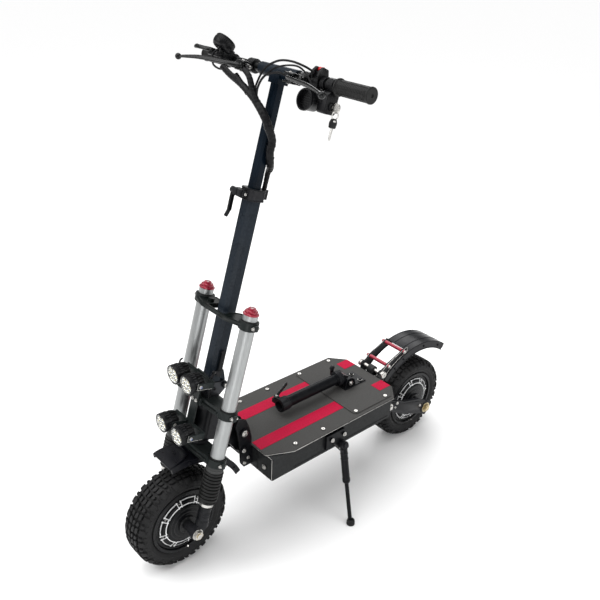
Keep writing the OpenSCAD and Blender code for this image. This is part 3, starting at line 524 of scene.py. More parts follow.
# ---- headlamps
for i, (y, t) in enumerate(((30, 418), (-30, 418), (36, 278), (-36, 278))):
    T = FORK @ Matrix.Translation((0.064, y / 1000, t / 1000)) @ R("Y", 105.6)
    b = B(T)
    b.mi = 0
    b.lathe([(22.6, 24.6), (24.2, 24.6), (25.7, 23.8), (26.0, 22.6), (26.0, 14), (24.6, 12.6), (24.2, 1.6), (23.0, 0.4), (21.8, -1.8), (15, -2.6), (0, -2.6)], None, 56)
    for k in range(18):
        b.prism([(13, -3), (23.4, -1.6), (23.4, -9), (20.5, -18.5), (13, -22)], -0.9, 0.9, 0.3, R("Z", k * 20), 1)
    b.lathe([(0, -2.5), (14.5, -2.5), (14.5, -19), (12.5, -21.4), (0, -21.4)], None, 40)
    for k in range(24):
        b.prism([(23.0, 1.4), (25.4, 2.4), (25.6, 11.6), (23.0, 12.6)], -1.0, 1.0, 0.25, R("Z", k * 15), 1)
    b.mi = 1
    b.lathe([(22.8, 24.8), (22.4, 21.5), (21.6, 19.6), (0, 19.6)], None, 56)
    for k in range(7):
        a = math.radians(k * 60 + 30)
        c = (14.2 * math.cos(a), 14.2 * math.sin(a)) if k < 6 else (0, 0)
        b.lathe([(7.0, 22.9), (6.6, 23.1), (6.1, 22.5), (4.9, 20.9), (2.6, 20.0), (0, 19.9)], Tr(c[0], c[1], 0), 24)
    b.mi = 2
    for k in range(7):
        a = math.radians(k * 60 + 30)
        c = (14.2 * math.cos(a), 14.2 * math.sin(a)) if k < 6 else (0, 0)
        b.lathe([(2.6, 20.1), (2.5, 21.4), (1.4, 22.1), (0, 22.3)], Tr(c[0], c[1], 0), 16)
    b.mi = 3
    for s in (1, -1):
        p = (0, s * 27.4, 0)
        b.bolt(p, (0, s, 0), 3.2, 1.1, False, True)
    b.obj("headlamp_%d_detail" % (i + 1), [M["motor"], M["reflector"], M["led"], M["zinc"]], "lamp_%d" % (i + 1), ["headlamp_%d" % (i + 1)], smooth=32)
    b = B(T)
    b.lathe([(22.5, 23.4), (22.5, 23.9), (19, 24.4), (10, 24.7), (0, 24.8)], None, 48)
    b.obj("headlamp_%d_lens" % (i + 1), M["lens"], "lamp_%d" % (i + 1), smooth=60)

# ---- cables
b = B()
W1 = [(36, -150, 1160), (32, -118, 1146), (32, -70, 1132), (26, -24, 1110), (18, 14, 1080), (8, 27, 1056), (-12, 27, 1028), (-14, 27, 1000), (-26, 22, 976), (-42, 8, 960), (-46, 0, 950), (-46, 0, 926), (-46, 0, 899)]
b.tube(W1, [7.4, 7.8, 8.2, 9.4, 10.2, 10.0, 9.6, 9.4, 9.4, 8.8, 7.0, 6.1, 6.0], 20, wrap=(11.0, 0.14), steps=16)
b.tube([(34, -96, 1150), (32, -70, 1134), (28, -32, 1114), (20, 8, 1086)], [6.0, 6.4, 6.6, 6.4], 18, wrap=(9.0, 0.16), steps=16)
b.tube([(38, -66, 1166), (37, -44, 1154), (32, -26, 1126), (24, -4, 1096), (15, 15, 1074)], [6.2, 7.0, 7.4, 7.4, 7.0], 18, wrap=(9.0, 0.16), steps=16)
for p, d in (((29, -45, 1121), 9.8), ((8, 27, 1056), 11.0), ((-13, 27, 1016), 10.6), ((-20, 24.5, 988), 10.2)):
    i = min(range(len(W1)), key=lambda k: (Vector(W1[k]) - Vector(p)).length)
    q = (Vector(W1[min(i + 1, len(W1) - 1)]) - Vector(W1[max(i - 1, 0)])).normalized()
    b.tube([Vector(p) - q * 2, Vector(p) + q * 2], d, 18)
o = b.obj("cable_harness_wrapped", M["cable"], "bar", ["cable_harness"], smooth=60)
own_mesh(o)
b = B()
b.tube([(34, -181, 1196), (42, -188, 1182), (43, -178, 1160), (38, -160, 1153), (35, -142, 1155)], 2.4, 10, steps=10)
b.tube([(8, 132, 1196), (26, 120, 1203), (36, 84, 1207), (36, 40, 1201), (34, 0, 1178), (31, -20, 1140), (27, -24, 1117)], 2.5, 10, steps=10)
b.tube([(6, 172, 1140), (22, 152, 1168), (27, 124, 1192), (34, 96, 1200), (34, 40, 1188), (33, 4, 1162), (31, -14, 1134), (25, -19, 1112)], 2.1, 10, steps=10)
b.tube([(22, -80, 1173), (34, -64, 1174), (37, -50, 1164)], 2.6, 10, steps=8)
b.tube([(22, 76, 1173), (34, 50, 1178), (37, 10, 1164), (32, -11, 1136), (24, -17, 1110)], 2.6, 10, steps=8)
b.obj("bar_wires", M["cable"], "bar", smooth=60)
b = B()
b.tube([(44, -60, 440), (43, -68, 430), (38, -73, 414), (30, -68, 404), (20, -50, 402), (12, -36, 394), (8, -33, 366)], 2.4, 10, steps=10)
b.tube([(44, 60, 440), (40, 64, 450), (22, 50, 450), (14, 34, 440), (12, 33, 402), (8, 33, 366)], 2.4, 10, steps=10)
b.obj("lamp_wires_detail", M["cable"], "fork_upper", ["lamp_wires"], smooth=60)

# ---- grips
b = B()
for s in (1, -1):
    S = Tr(-14, 0, 1179) @ (Y_AXIS if s > 0 else R("X", 90))
    prof = [(11.3, 191), (17.5, 191), (19.3, 192), (19.5, 194), (19.3, 195.6), (17.0, 196.6)]
    n = 0
    for k in range(19):
        z = 199 + k * 4.4
        prof += [(15.6, z), (16.2, z + 1.0), (16.2, z + 2.8), (15.6, z + 3.8)]
    prof += [(16.4, 283.6), (17.8, 284.4), (18.2, 286), (17.8, 288.6), (16.0, 289.8), (4.0, 289.8), (3.6, 287.5), (0, 287.5)]
    b.lathe(prof, S, 40)
    for k in range(10):
        b.box((-1.2, 199, 15.6), (1.2, 281, 16.9), 0.4, Tr(-14, 0, 1179) @ (R("Y", k * 36) if s > 0 else (R("Z", 180) @ R("Y", k * 36))), 1)
b.obj("grips_ribbed", M["rubber"], "bar", ["grips"], smooth=30)

# ---- display and throttle
T = FORK @ Matrix.Translation((0.022, -0.181, 1.209)) @ R("Y", -30)
b = B(T)
b.mi = 0
b.lathe([(0, -12), (19, -12), (23, -10.5), (25.5, -7), (27, -3), (27, 6.5), (26, 8), (26.6, 9), (26.6, 11), (25.2, 12.8), (22.6, 12.8), (21.8, 12.0)], None, 64)
for k in range(40):
    b.prism([(26.7, -2), (27.4, -1), (27.4, 5), (26.7, 6)], -0.7, 0.7, 0.2, R("Z", k * 9), 1)
b.mi = 1
b.lathe([(21.9, 12.0), (21.0, 12.5), (0, 12.8)], None, 48)
b.mi = 0
b.T = FORK @ Matrix.Scale(0.001, 4)
b.lathe([(11.3, -190.5), (15.5, -190.5), (16.4, -189.4), (16.4, -171), (15.5, -170), (11.3, -170)], Tr(-14, 0, 1179) @ R("X", -90), 40)
b.box((-10, -188, 1174), (24, -171, 1200), 3.0)
b.prism([(11, 1178.2), (38, 1178.2), (40.5, 1180), (40.5, 1183.6), (38, 1185.4), (11, 1185.4)], -213, -175, 1.2)
b.box((14, -186, 1184), (34, -174, 1200), 2.0)
b.mi = 2
b.bolt((-28.5, -180, 1177), (-1, 0, 0), 2.2, 2.0, False, False)
b.obj("display_housing", [M["plastic"], M["screen"], M["zinc"]], "bar", ["display"], smooth=32)
b = B()
b.lathe([(0, 1186), (6.4, 1186), (7.2, 1186.8), (7.2, 1194.8), (6.4, 1195.6), (0, 1195.6)], Tr(33, -206, 0), 32)
b.tube([(33, -206, 1191), (40, -216, 1191), (44, -230, 1191), (45.4, -246, 1191), (42.6, -260, 1191), (38.6, -268, 1191)], [6.0, 5.8, 5.4, 5.6, 6.4, 4.0], 18, steps=8, flat=0.72)
for k in range(5):
    b.tube([(34.6, -248 - k * 3.6, 1187.4), (34.4, -248 - k * 3.6, 1194.6)], 0.9, 8)
b.obj("throttle_lever_shape", M["bar"], "throttle", ["throttle_trigger"], smooth=50)

# ---- brake levers and perches
for s in (1, -1):
    nm = "left" if s > 0 else "right"
    b = B()
    b.lathe([(3.2, 1167.4), (6.6, 1167.4), (7.2, 1168), (7.2, 1178.4), (6.6, 1179), (3.2, 1179)], Tr(31, s * 84, 0), 32)
    b.tube([(31, s * 84, 1173), (42, s * 90, 1172.6), (56, s * 112, 1171.6), (66, s * 150, 1170), (76, s * 196, 1167.2), (86, s * 236, 1161), (91, s * 251, 1158)],
           [6.0, 6.6, 5.6, 6.2, 6.0, 4.6, 3.4], 20, steps=8, flat=0.62)
    b.lathe([(0, -7.8)] + [(7.8 * math.cos(math.radians(a)), 7.8 * math.sin(math.radians(a))) for a in range(-80, 90, 10)] + [(0, 7.8)], Tr(91.5, s * 255, 1157), 24)
    b.obj("brake_lever_%s_shape" % nm, M["bar"], "brake_" + nm, ["brake_lever_" + nm], smooth=60)
    b = B()
    b.mi = 0
    b.lathe([(11.2, -11), (16.4, -11), (17.2, -10), (17.2, 10), (16.4, 11), (11.2, 11)], Tr(-14, s * 98, 1179) @ Y_AXIS, 40)
    b.box((-4, s * 97 - 9.5, 1164), (27, s * 97 + 9.5, 1183), 2.5)
    b.prism([(24, 1179.6), (39, 1179.6), (39, 1184), (34, 1185), (24, 1185)], s * 86 - 15, s * 86 + 15, 1.4)
    b.prism([(24, 1161), (34, 1161), (39, 1162), (39, 1166.4), (24, 1166.4)], s * 86 - 15, s * 86 + 15, 1.4)
    b.box((22, s * 108 - 7, 1161.5), (27, s * 108 + 7, 1184.5), 1.2)
    b.tube([(18, s * 72, 1173), (18.4, s * 90, 1173), (20, s * 118, 1173)], [5.0, 8.2, 8.2], 22)
    b.mi = 1
    b.bolt((31, s * 84, 1185), (0, 0, 1), 3.2, 2.2, False, False)
    b.bolt((31, s * 84, 1161), (0, 0, -1), 3.0, 1.6, True, False)
    for dy in (-6, 6):
        b.bolt((-31, s * 98 + dy, 1179), (-1, 0, 0), 2.4, 2.2, False, False)
    b.tube([(18, s * 74, 1173), (18.5, s * 66, 1173)], [4.2, 3.4], 16)
    b.obj("brake_perch_%s" % nm, [M["bar"], M["zinc"]], "bar", ["brake_perches"], smooth=35)

# ---- left-hand controls: switch pod, lock box, horn
b = B()
b.mi = 0
for y0, y1, r in ((122, 142, 17), (146, 158, 15.4), (166, 186, 16)):
    b.lathe([(11.2, y0), (r - 0.8, y0), (r, y0 + 0.9), (r, y1 - 0.9), (r - 0.8, y1), (11.2, y1)], Tr(-14, 0, 1179) @ Y_AXIS, 40)
b.prism([(-26, 1190), (-20, 1208), (-4, 1211), (6, 1200), (8, 1189), (0, 1184)], 118, 126.2, 1.6)
b.prism([(-26, 1190), (-20, 1208), (-4, 1211), (6, 1200), (8, 1189), (0, 1184)], 138, 146, 1.6)
b.box((-19, 126, 1188), (-1, 138, 1200.6), 1.0)
b.prism([(-27, 1122), (-24, 1119), (3, 1119), (7, 1123), (7, 1160), (-2, 1167), (-27, 1167)], 162, 188, 2.0)
b.box((-20, 160.5, 1126), (2, 163, 1156), 0.8)
b.lathe([(4.2, 186), (9.2, 186), (9.4, 192.6), (8.6, 193.9), (4.2, 193.9)], Tr(-11, 0, 1136) @ Y_AXIS, 32)
b.lathe([(0, -12), (18, -12), (21, -10.5), (22, -8), (22, 14), (22.8, 16), (24, 18), (24, 23), (23.2, 24), (20.5, 24), (19.4, 21), (18.8, 12.5), (0, 12.5)], Tr(0, 136, 1138) @ R("Y", 90), 48)
b.box((-17, 146, 1150), (-9, 158, 1168), 1.5)
for k in range(5):
    b.box((12.8, 136 - 17 + k * 2, 1126 + k * 5.2), (15.4, 136 + 17 - k * 2 if k > 2 else 153, 1128.4 + k * 5.2), 0.5)
b.mi = 1
b.bolt((-18, 176, 1168.5), (0, 0, 1), 2.2, 2, False, False)
b.bolt((7, 170, 1150), (1, 0, 0), 2.2, 1.6, False, False)
b.obj("left_controls_shape", [M["plastic"], M["zinc"]], "bar", ["bar_controls"], smooth=35)
b = B()
b.prism([(-17.4, 1203.2), (-17.4, 1209), (-13, 1212), (-8, 1211), (-4.8, 1208), (-4.8, 1203.2)], 126.6, 137.4, 1.0)
b.obj("switch_rocker", M["button"], "lamp_button", ["switch_button"], smooth=35)
# hanging key with black fob
b = B()
b.mi = 0
ring = [(-11 + 9.0 * math.cos(math.radians(a)), 204, 1121.4 + 9.0 * math.sin(math.radians(a))) for a in range(0, 361, 15)]
b.tube(ring, 0.8, 8, caps=False)
b.tube([(p[0], p[1] + 1.2, p[2] - 0.3) for p in ring], 0.7, 8, caps=False)
b.prism([(-14.6, 1096), (-14.2, 1070), (-11.5, 1067), (-8.6, 1070), (-8.6, 1076), (-7.4, 1078), (-8.6, 1080), (-8.6, 1084), (-7.4, 1086), (-8.6, 1088), (-8, 1096)], 203, 205, 0.3)
b.mi = 1
b.prism([(-20, 1096), (-18, 1094), (-4, 1094), (-2, 1096), (-0.6, 1106), (-4, 1113), (-7, 1115), (-15, 1115), (-18, 1113), (-21.4, 1106)], 200.6, 207.4, 1.8, None, 3)
b.mi = 0
b.box((-15, 200.3, 1107.6), (-7, 207.7, 1111.6), 0.8)
b.obj("spare_key_on_ring", [M["zinc"], M["plastic"]], "hanging_key", ["key_ring"], smooth=35)

# ---- shock spring
T = Matrix.Translation((XS - 0.745, 0, 0.313)) @ R("Y", 180 + math.degrees(math.atan2(0.011, 0.1)))
b = B(T)
pts = []
turns = 6.5
for k in range(int(turns * 20) + 1):
    a = 2 * math.pi * k / 20
    f = k / (turns * 20)
    pts.append((15.2 * math.cos(a), 15.2 * math.sin(a), 21.8 + 56.4 * f))
b.tube(pts, 2.7, 12)
o = b.obj("shock_coil", M["spring"], "damper_body", ["shock_spring"], smooth=60)
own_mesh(o)
b = B(T)
b.lathe([(15.2, 14.2), (19.8, 14.2), (20.6, 15), (20.6, 18.4), (19.8, 19.2), (15.2, 19.2)], None, 48)
for k in range(20):
    b.box((20.2, -1, 14.6), (21.2, 1, 18.8), 0.3, R("Z", k * 18), 1)
b.obj("shock_collar", M["zinc"], "damper_body", smooth=40)

# ---- neck, hinge and collar hardware
def yM(x, z, s):
    return Tr(x, 0, z) @ (Y_AXIS if s > 0 else R("X", 90))


b = B(DECK)
for s in (1, -1):
    b.mi = 0
    b.lathe([(0, 50), (11, 50), (11.6, 51), (11.6, 54.6), (10.4, 56.2), (0, 56.2)], yM(-189, 354, s), 36)
    b.lathe([(0, 50), (8.4, 50), (8.8, 51), (8.8, 54.8), (7.8, 56.2), (0, 56.2)], yM(-186, 298, s), 36)
    for pts in ([(-214, 299), (-214, 335), (-196, 391), (-173, 401.4)], [(-164, 385), (-178.4, 300), (-180.4, 252)]):
        b.tube([(x, s * 50.2, z) for x, z in pts], 1.3, 8, steps=3)
    b.tube([(-213, s * 25.2, 300), (-213, s * 25.2, 330), (-196, s * 25.2, 388), (-172, s * 25.2, 400), (-130, s * 25.2, 440)], 1.6, 8, steps=3)
    b.mi = 1
    b.bolt((-189, s * 56, 354), (0, s, 0), 6.2, 4.2, True, True)
    b.bolt((-186, s * 56, 298), (0, s, 0), 4.2, 3.2, False, True)
    b.bolt((-205, s * 50, 262), (0, s, 0), 3.6, 2.6, False, True)
    b.bolt((-192, s * 50, 250), (0, s, 0), 3.6, 2.6, False, True)
b.obj("neck_hardware", [M["frame"], M["zinc"]], "chassis", smooth=35)
b = B()
for s in (1, -1):
    b.mi = 0
    b.lathe([(0, 20), (8.4, 20), (8.8, 21), (8.8, 25), (7.4, 26.2), (0, 26.2)], yM(-44, 395, s), 30)
    b.mi = 1
    b.bolt((-44, s * 25.6, 395), (0, s, 0), 4.6, 2.8, False, False)
b.obj("stem_pin_heads", [M["frame"], M["zinc"]], "stem_outer", smooth=35)
b = B()
for z in (368, 408 - 5):
    b.box((-33, -20.6, z - 1.2), (5, 20.6, z + 1.2), 0.5, None, 1)
for s in (1, -1):
    b.bolt((-14, s * 20.4, 385), (0, s, 0), 4.4, 2.2, False, False)
b.obj("hinge_block_trim", M["frame"], "fork_upper", smooth=35)
b = B()
b.mi = 0
for z in (881, 906.4):
    pts = [(h_[0] - 14, h_[1], z) for h_ in ((24.6, 15.5), (15.5, 24.6), (-15.5, 24.6), (-24.6, 15.5), (-24.6, -15.5), (-15.5, -24.6), (15.5, -24.6), (24.6, -15.5), (24.6, 15.5))]
    b.tube(pts, 1.3, 8, caps=False)
b.lathe([(0, 4), (7, 4), (7.6, 4.8), (7.6, 9.6), (6.4, 10.8), (0, 10.8)], yM(18, 893, 1), 28)
for k in range(14):
    b.box((7.2, -0.7, 5), (8.2, 0.7, 10), 0.2, yM(18, 893, 1) @ R("Z", k * 360 / 14) @ Tr(0, 0, 0) if False else Tr(18, 7.4, 893) @ R("Y", k * 360 / 14) @ Tr(0, -7.4, 0), 1)
b.mi = 1
b.bolt((18, 10.6, 893), (0, 1, 0), 3.4, 2.0, False, False)
b.bolt((-53.4, 0, 890), (-1, 0, 0), 2.6, 2.0, False, False)
b.obj("collar_trim", [M["frame"], M["zinc"]], "stem_outer", smooth=35)
# rounded clamp rings with pinch bolts
for nm, ts in (("upper", (584,)), ("lower", (341, 205))):
    b = B()
    for t in ts:
        for s in (1, -1):
            b.mi = 0
            b.lathe([(19.2, t + 20.3), (23.8, t + 20.3), (25.3, t + 18.9), (25.3, t + 1.1), (23.8, t - 0.3), (19.2, t - 0.3)], Tr(-12, s * 92, 0), 56)
            b.box((-18.6, s * 119.5 - 4.6, t + 2.0), (-5.4, s * 119.5 + 4.6, t + 17.8), 2.2)
            b.mi = 1
            b.bolt((-5.2, s * 119.2, t + 10), (1, 0, 0), 3.5, 3.6, False, True)
            b.lathe([(0, 0), (3.6, 0), (3.9, 1), (3.9, 3.4), (0, 3.6)], Tr(-19, s * 119.2, t + 10) @ R("Y", -90), 6)
    b.mi = 0
    if nm == "upper":
        for s in (1, -1):
            b.tube([(-34, s * 74, 600.2), (-30, s * 46, 600.2), (-14, s * 33, 600.2), (8, s * 32, 600.2)], 1.5, 8, steps=3)
            b.tube([(10, s * 92, 594), (26, s * 51, 594), (26.4, s * 20, 594)], 5.4, 12, steps=6, flat=0.55)
        b.tube([(26.2, -50, 594), (26.4, 0, 594), (26.2, 50, 594)], 5.6, 12, flat=0.5)
    else:
        for t in ts:
            b.tube([(10.4, 78, t + 10), (14.2, 38, t + 10), (14.2, -38, t + 10), (10.4, -78, t + 10)], 6.2, 12, steps=4, flat=0.4)
    b.obj(nm + "_clamp_trim", [M["clamp"], M["zinc"]], "fork_upper", smooth=35)
# red caps, two tiers
b = B()
for s in (1, -1):
    X = Tr(-12, s * 92, 620)
    b.mi = 0
    b.lathe([(15, 0.1), (19.2, 0.1), (19.9, 0.8), (19.9, 4.6), (19.2, 5.4), (15.6, 5.8), (15.2, 6.6), (15.2, 11.4), (14.2, 12.6), (10.4, 12.8), (10.0, 13.6), (9.8, 16.8), (9.0, 17.8), (4.4, 17.8), (4.0, 15.8), (0, 15.8)], X, 56)
    for k in range(30):
        b.box((19.4, -0.7, 1.0), (20.3, 0.7, 4.4), 0.25, X @ R("Z", k * 12), 1)
    for k in range(6):
        b.box((13.6, -4.0, 6.4), (16.0, 4.0, 11.6), 0.8, X @ R("Z", k * 60), 1)
    b.mi = 1
    b.lathe([(0, 15.9), (3.8, 15.9), (3.8, 17.2), (2.0, 17.4), (1.8, 16.6), (0, 16.6)], X, 24)
b.obj("fork_caps_shape", [M["redano"], M["zinc"]], "fork_upper", ["fork_caps"], smooth=35)

# ---- fender edges and screws
def apt(c, r, a, y):
    return (c[0] + r * math.cos(math.radians(a)), y, c[1] + r * math.sin(math.radians(a)))


for nm, c, r1, sk, hw, a0, a1, body, scr in (("front", (0, 142.5), 200, 16, 43, 80, 156, "fork_upper", (96, 128, 148)), ("rear", (-917, 142.5), 219, 24, 48, 42, 127, "chassis", (56, 68, 96, 118))):
    b = B(DECK)
    b.mi = 0
    for s in (1, -1):
        b.tube([apt(c, r1 - sk + 0.8, a0 + (a1 - a0) * k / 24, s * (hw - 0.6)) for k in range(25)], 1.9, 10)
        b.tube([apt(c, r1 - 0.6, a0 + (a1 - a0) * k / 24, s * (hw - 2.2)) for k in range(25)], 1.5, 10)
        b.mi = 0
        for a in scr:
            b.bolt(apt(c, r1 - sk * 0.52, a, s * (hw - 0.2)), (0, s, 0), 3.0, 1.8, False, True)
        b.mi = 0
    if nm == "front":
        for k in range(17):
            w_ = 40 * math.cos(math.radians(k * 5 - 5)) ** 0.5
            b.tube([apt(c, r1 - 1.4 + 2.0 * math.sin(math.radians(k * 10 + 10)), 80.6 + k * 1.1, y_ * w_ / 6) for y_ in range(-6, 7)], 4.6, 12)
        # grey lip bead across the fender nose: its grey is a painted highlight of the rounded front of the fender
        b.mi = 2
        b.tube([apt(c, r1 - 14, a0, -43), apt(c, r1 - 3, a0, -42.6), apt(c, r1 - 0.6, a0 + 0.2, -38), apt(c, r1 - 0.4, a0, 0), apt(c, r1 - 0.6, a0 + 0.2, 38), apt(c, r1 - 3, a0, 42.6), apt(c, r1 - 14, a0, 43)], 1.7, 10)
    else:
        for y in (-20, 20):
            b.tube([apt(c, r1 + 0.1, 78 + (a1 - 80) * k / 16, y) for k in range(17)], 1.1, 8)
        b.mi = 2
        for s in (1, -1):
            b.tube([apt(c, r1 - 0.2, 42 + 34 * k / 12, s * 41.6) for k in range(13)], 0.8, 8)
        b.mi = 0
        b.tube([apt(c, r1 - 16, a1, -47.4), apt(c, r1 - 2, a1, -46.6), apt(c, r1 - 0.8, a1, 0), apt(c, r1 - 2, a1, 46.6), apt(c, r1 - 16, a1, 47.4)], 1.9, 10)
    b.obj(nm + "_fender_edges", [M["fender"], M["zinc"], M["cuff"] if nm == "front" else M["zinc"]], body, smooth=45)

# ---- tail hardware: shock knobs, pivot nuts, bolts of the red bars, edges of the side plates
b = B(DECK)
for s in (1, -1):
    b.mi = 1
    b.lathe([(0, 47.6), (10.6, 47.6), (11.4, 48.4), (11.4, 51.4), (10.2, 52.8), (6.6, 53.4), (4.0, 53.4), (3.6, 51.8), (0, 51.8)], yM(-745, 313, s), 40)
    b.bolt((-722, s * 110.8, 232), (0, s, 0), 7.2, 4.2, True, True)
    for x, z in ((-841, 361), (-772, 333)):
        b.bolt((x, s * 46.8, z), (0, s, 0), 3.8, 2.8, False, True)
    b.bolt((-716, s * 41, 262), (0, s, 0), 3.6, 2.6, False, True)
    b.bolt((-712, s * 41, 286), (0, s, 0), 3.6, 2.6, False, True)
    b.mi = 2
    b.tube([(x, s * 41.3, z) for x, z in ((-733, 309), (-775, 340.8), (-852, 368.6), (-861, 362), (-850, 349.4), (-796, 325.4), (-766, 299.4), (-744, 261.4), (-741, 229))], 0.7, 8, steps=3)
    b.mi = 0
    b.lathe([(8.5, 90.5), (13.6, 90.5), (14.4, 91.4), (14.4, 92.6)], yM(-722, 232, s), 36)
b.obj("tail_hardware", [M["frame"], M["zinc"], M["zinc"]], "chassis", smooth=35)
b = B(DECK)
for s in (1, -1):
    b.mi = 0
    pr = [(-742, 239), (-772, 224), (-803, 207), (-878, 184), (-902, 168), (-898, 150), (-878, 146), (-804, 176), (-742, 214)]
    lo_, hi_ = (100.3, 102.0) if s > 0 else (-102.0, -100.3)
    b.prism(pr, lo_, hi_, 0.8)
    b.lathe([(10, 100.2), (22.6, 100.2), (23.4, 101), (23.4, 101.4), (22.6, 102.2), (17.4, 102.2)], yM(-917, 142.5, s), 48)
    b.lathe([(13, 100.2), (17.8, 100.2), (18.6, 101), (18.6, 101.8), (17.8, 102.6), (13, 102.6)], yM(-722, 232, s), 48)
    b.mi = 1
    for x, z in ((-756, 213), (-764, 218)):
        b.bolt((x, s * 100.6, z) if x == -756 else (x, s * 102.0, z + 8), (0, s, 0), 3.6, 2.6, False, True)
    b.bolt((-884, s * 102, 165), (0, s, 0), 3.2, 2.2, False, True)
b.obj("swingarm_trim", [M["frame"], M["zinc"]], "rear_arm", smooth=35)
b = B(DECK)
for s in (1, -1):
    b.mi = 0
    b.lathe([(8.1, 102.2), (17, 102.2), (17.6, 102.8), (17.6, 103.6), (17, 104.2), (8.1, 104.2)], yM(-917, 142.5, s), 40)
    b.lathe([(8.1, 104), (12.6, 104), (13.6, 104.8), (13.6, 109.2), (12.6, 110), (8.1, 110)], yM(-917, 142.5, s), 6)
    b.mi = 1
    b.lathe([(8.2, 52), (14.2, 52), (14.2, 89.2), (8.2, 89.2)], yM(-917, 142.5, s), 40)
b.obj("rear_axle_nuts", [M["gold"], M["frame"]], "rear_arm", smooth=35)
b = B(FORK)
for s in (1, -1):
    b.mi = 0
    b.lathe([(8.1, 101.6), (12.6, 101.6), (13.4, 102.4), (13.4, 107.6), (12.4, 108.6), (8.1, 108.6)], yM(0, 0, s), 6)
    b.lathe([(0, 108), (7.4, 108), (7.9, 108.6), (7.9, 110.6), (7.0, 111.4), (0, 111.4)], yM(0, 0, s), 28)
    b.mi = 1
    b.lathe([(8.2, 52), (14.2, 52), (14.2, 84.4), (8.2, 84.4)], yM(0, 0, s), 40)
    for k in range(3):
        b.lathe([(16.3, 40 + k * 12), (17.1, 40.6 + k * 12), (17.1, 42.4 + k * 12), (16.3, 43 + k * 12)], Tr(-12, s * 92, 0), 48)
    b.bolt((-2, s * 99.4, 24), (0, s, 0), 3.0, 2.2, False, True)
b.obj("front_axle_nuts", [M["zinc"], M["frame"]], "fork_lower", smooth=35)

# ---- deck rim, kickstand, seat post
b = B(DECK)
out = [(-216, 111.3), (-290, 146.3), (-690, 146.3), (-730.8, 100), (-730.8, -100), (-690, -146.3), (-290, -146.3), (-216, -111.3), (-215.8, 0), (-216, 111.3)]
b.tube([(x, y, 299.8) for x, y in out], 0.8, 8, caps=False)
b.mi = 1
for s in (1, -1):
    b.prism([(-219.8, 226.4), (-219.8, 298.8), (-218.6, 298.8), (-218.6, 226.4)], s * 70 - 1, s * 70 + 1, 0.3)
    b.box((-680, s * 136 - 1.6, 287), (-300, s * 136 + 1.6, 291), 1.0, None, 1)
    b.box((-680, s * 136 - 1.3, 233), (-300, s * 136 + 1.3, 236), 0.8, None, 1)
b.mi = 0
for s in (1, -1):
    b.bolt((-220, s * 102, 254), (1, 0, 0), 5.2, 3.0, False, True)
    b.box((-221, s * 134.2 - 0.8, 227), (-219.3, s * 134.2 + 0.8, 298), 0.3, None, 1)
b.tube([(-219.6, -134, 298.6), (-219.6, 134, 298.6)], 0.7, 8)
b.obj("deck_rim", [M["zinc"], M["deck_side"]], "chassis", smooth=35)
b = B(DECK)
b.mi = 0
b.bolt((-432, 149.2, 269), (0, 1, 0), 4.4, 3.0, False, True)
b.bolt((-480, 149.2, 269), (0, 1, 0), 4.4, 3.0, False, True)
pts = []
for k in range(101):
    f = k / 100
    a = 2 * math.pi * 9 * f
    q = Vector((-440, 151, 252)).lerp(Vector((-468, 158, 214)), f)
    pts.append((q.x + 3.1 * math.cos(a), q.y + 2.0 * math.sin(a), q.z + 3.1 * math.sin(a) * 0.6))
b.mi = 1
b.tube([(-440, 147, 254)] + pts[::2] , 0.9, 6)
b.obj("kickstand_bracket_bolts", [M["zinc"], M["spring"]], "chassis", smooth=40)
b = B(DECK)
d_ = (Vector((-465.6, 184, 125)) - Vector((-476, 153, 222))).normalized()
b.mi = 0
Mk = Matrix.Translation(Vector((-476, 153, 222))) @ d_.to_track_quat("Z", "Y").to_matrix().to_4x4()
for z in (14, 30, 92):
    b.lathe([(10.9, z), (11.8, z + 0.8), (11.8, z + 3.4), (10.9, z + 4.2)], Mk, 32)
b.mi = 1
b.lathe([(0, 0.2), (11.6, 0.2), (12.4, 1.2), (12.4, 4.4), (11.2, 5.2), (11.2, 7), (12.2, 7.8), (12.2, 10.4), (11.2, 11.2), (11.0, 14.6), (9.4, 16.2), (6.4, 17.4)], Tr(-451, 228, 0), 36)
b.obj("kickstand_foot", [M["frame"], M["rubber"]], "stand", smooth=40)
b = B(DECK)
XA = R("Y", 90)
b.mi = 0
b.lathe([(17.2, -597), (21.6, -597), (22.4, -596), (22.4, -579), (21.6, -578), (19.4, -577.4), (19.0, -574), (17.2, -574)], Tr(0, 0, 340) @ XA, 48)
for k in range(36):
    b.box((22.0, -0.8, -594), (23.0, 0.8, -581), 0.3, Tr(0, 0, 340) @ XA @ R("Z", k * 10), 1)
b.lathe([(17.2, -384), (20.0, -384), (20.9, -383), (20.9, -357), (20.2, -356), (14.2, -356)], Tr(0, 0, 340) @ XA, 48)
b.lathe([(17.2, -390), (18.6, -389), (18.6, -385), (17.2, -384)], Tr(0, 0, 340) @ XA, 48)
b.tube([(-382, -21, 336.8), (-358, -21, 336.8)], 1.0, 8)
b.mi = 1
for s in (1, -1):
    b.bolt((-615, s * 15.4, 333.5), (0, s, 0), 0.6, 0.3, False, False)
b.bolt((-369, -29, 334), (0, 0, -1), 5.0, 3.4, True, True)
b.bolt((-585.5, -26.4, 366), (0, -1, 0), 3.2, 2.0, False, False)
b.obj("seat_post_trim", [M["frame"], M["zinc"]], "seat_mast", smooth=35)
b = B(DECK)
b.mi = 0
b.lathe([(0, 346.3), (8, 346.3), (8.6, 347), (8.6, 351.8), (7.6, 352.8), (0, 352.8)], Tr(-369, -29, 0), 32)
b.tube([(-369, -29, 349.4), (-386, -38.5, 350.4), (-404, -47, 350.2), (-422, -56, 349.4), (-434, -62.6, 348.6), (-441, -66.5, 348.4)], [5.2, 5.0, 4.4, 4.4, 5.2, 3.0], 18, steps=8, flat=0.55)
b.mi = 1
b.bolt((-369, -29, 352.6), (0, 0, 1), 3.2, 2.0, False, False)
b.obj("seat_lever_shape", [M["bar"], M["zinc"]], "seat_latch", ["seat_lever"], smooth=50)
b = B(DECK)
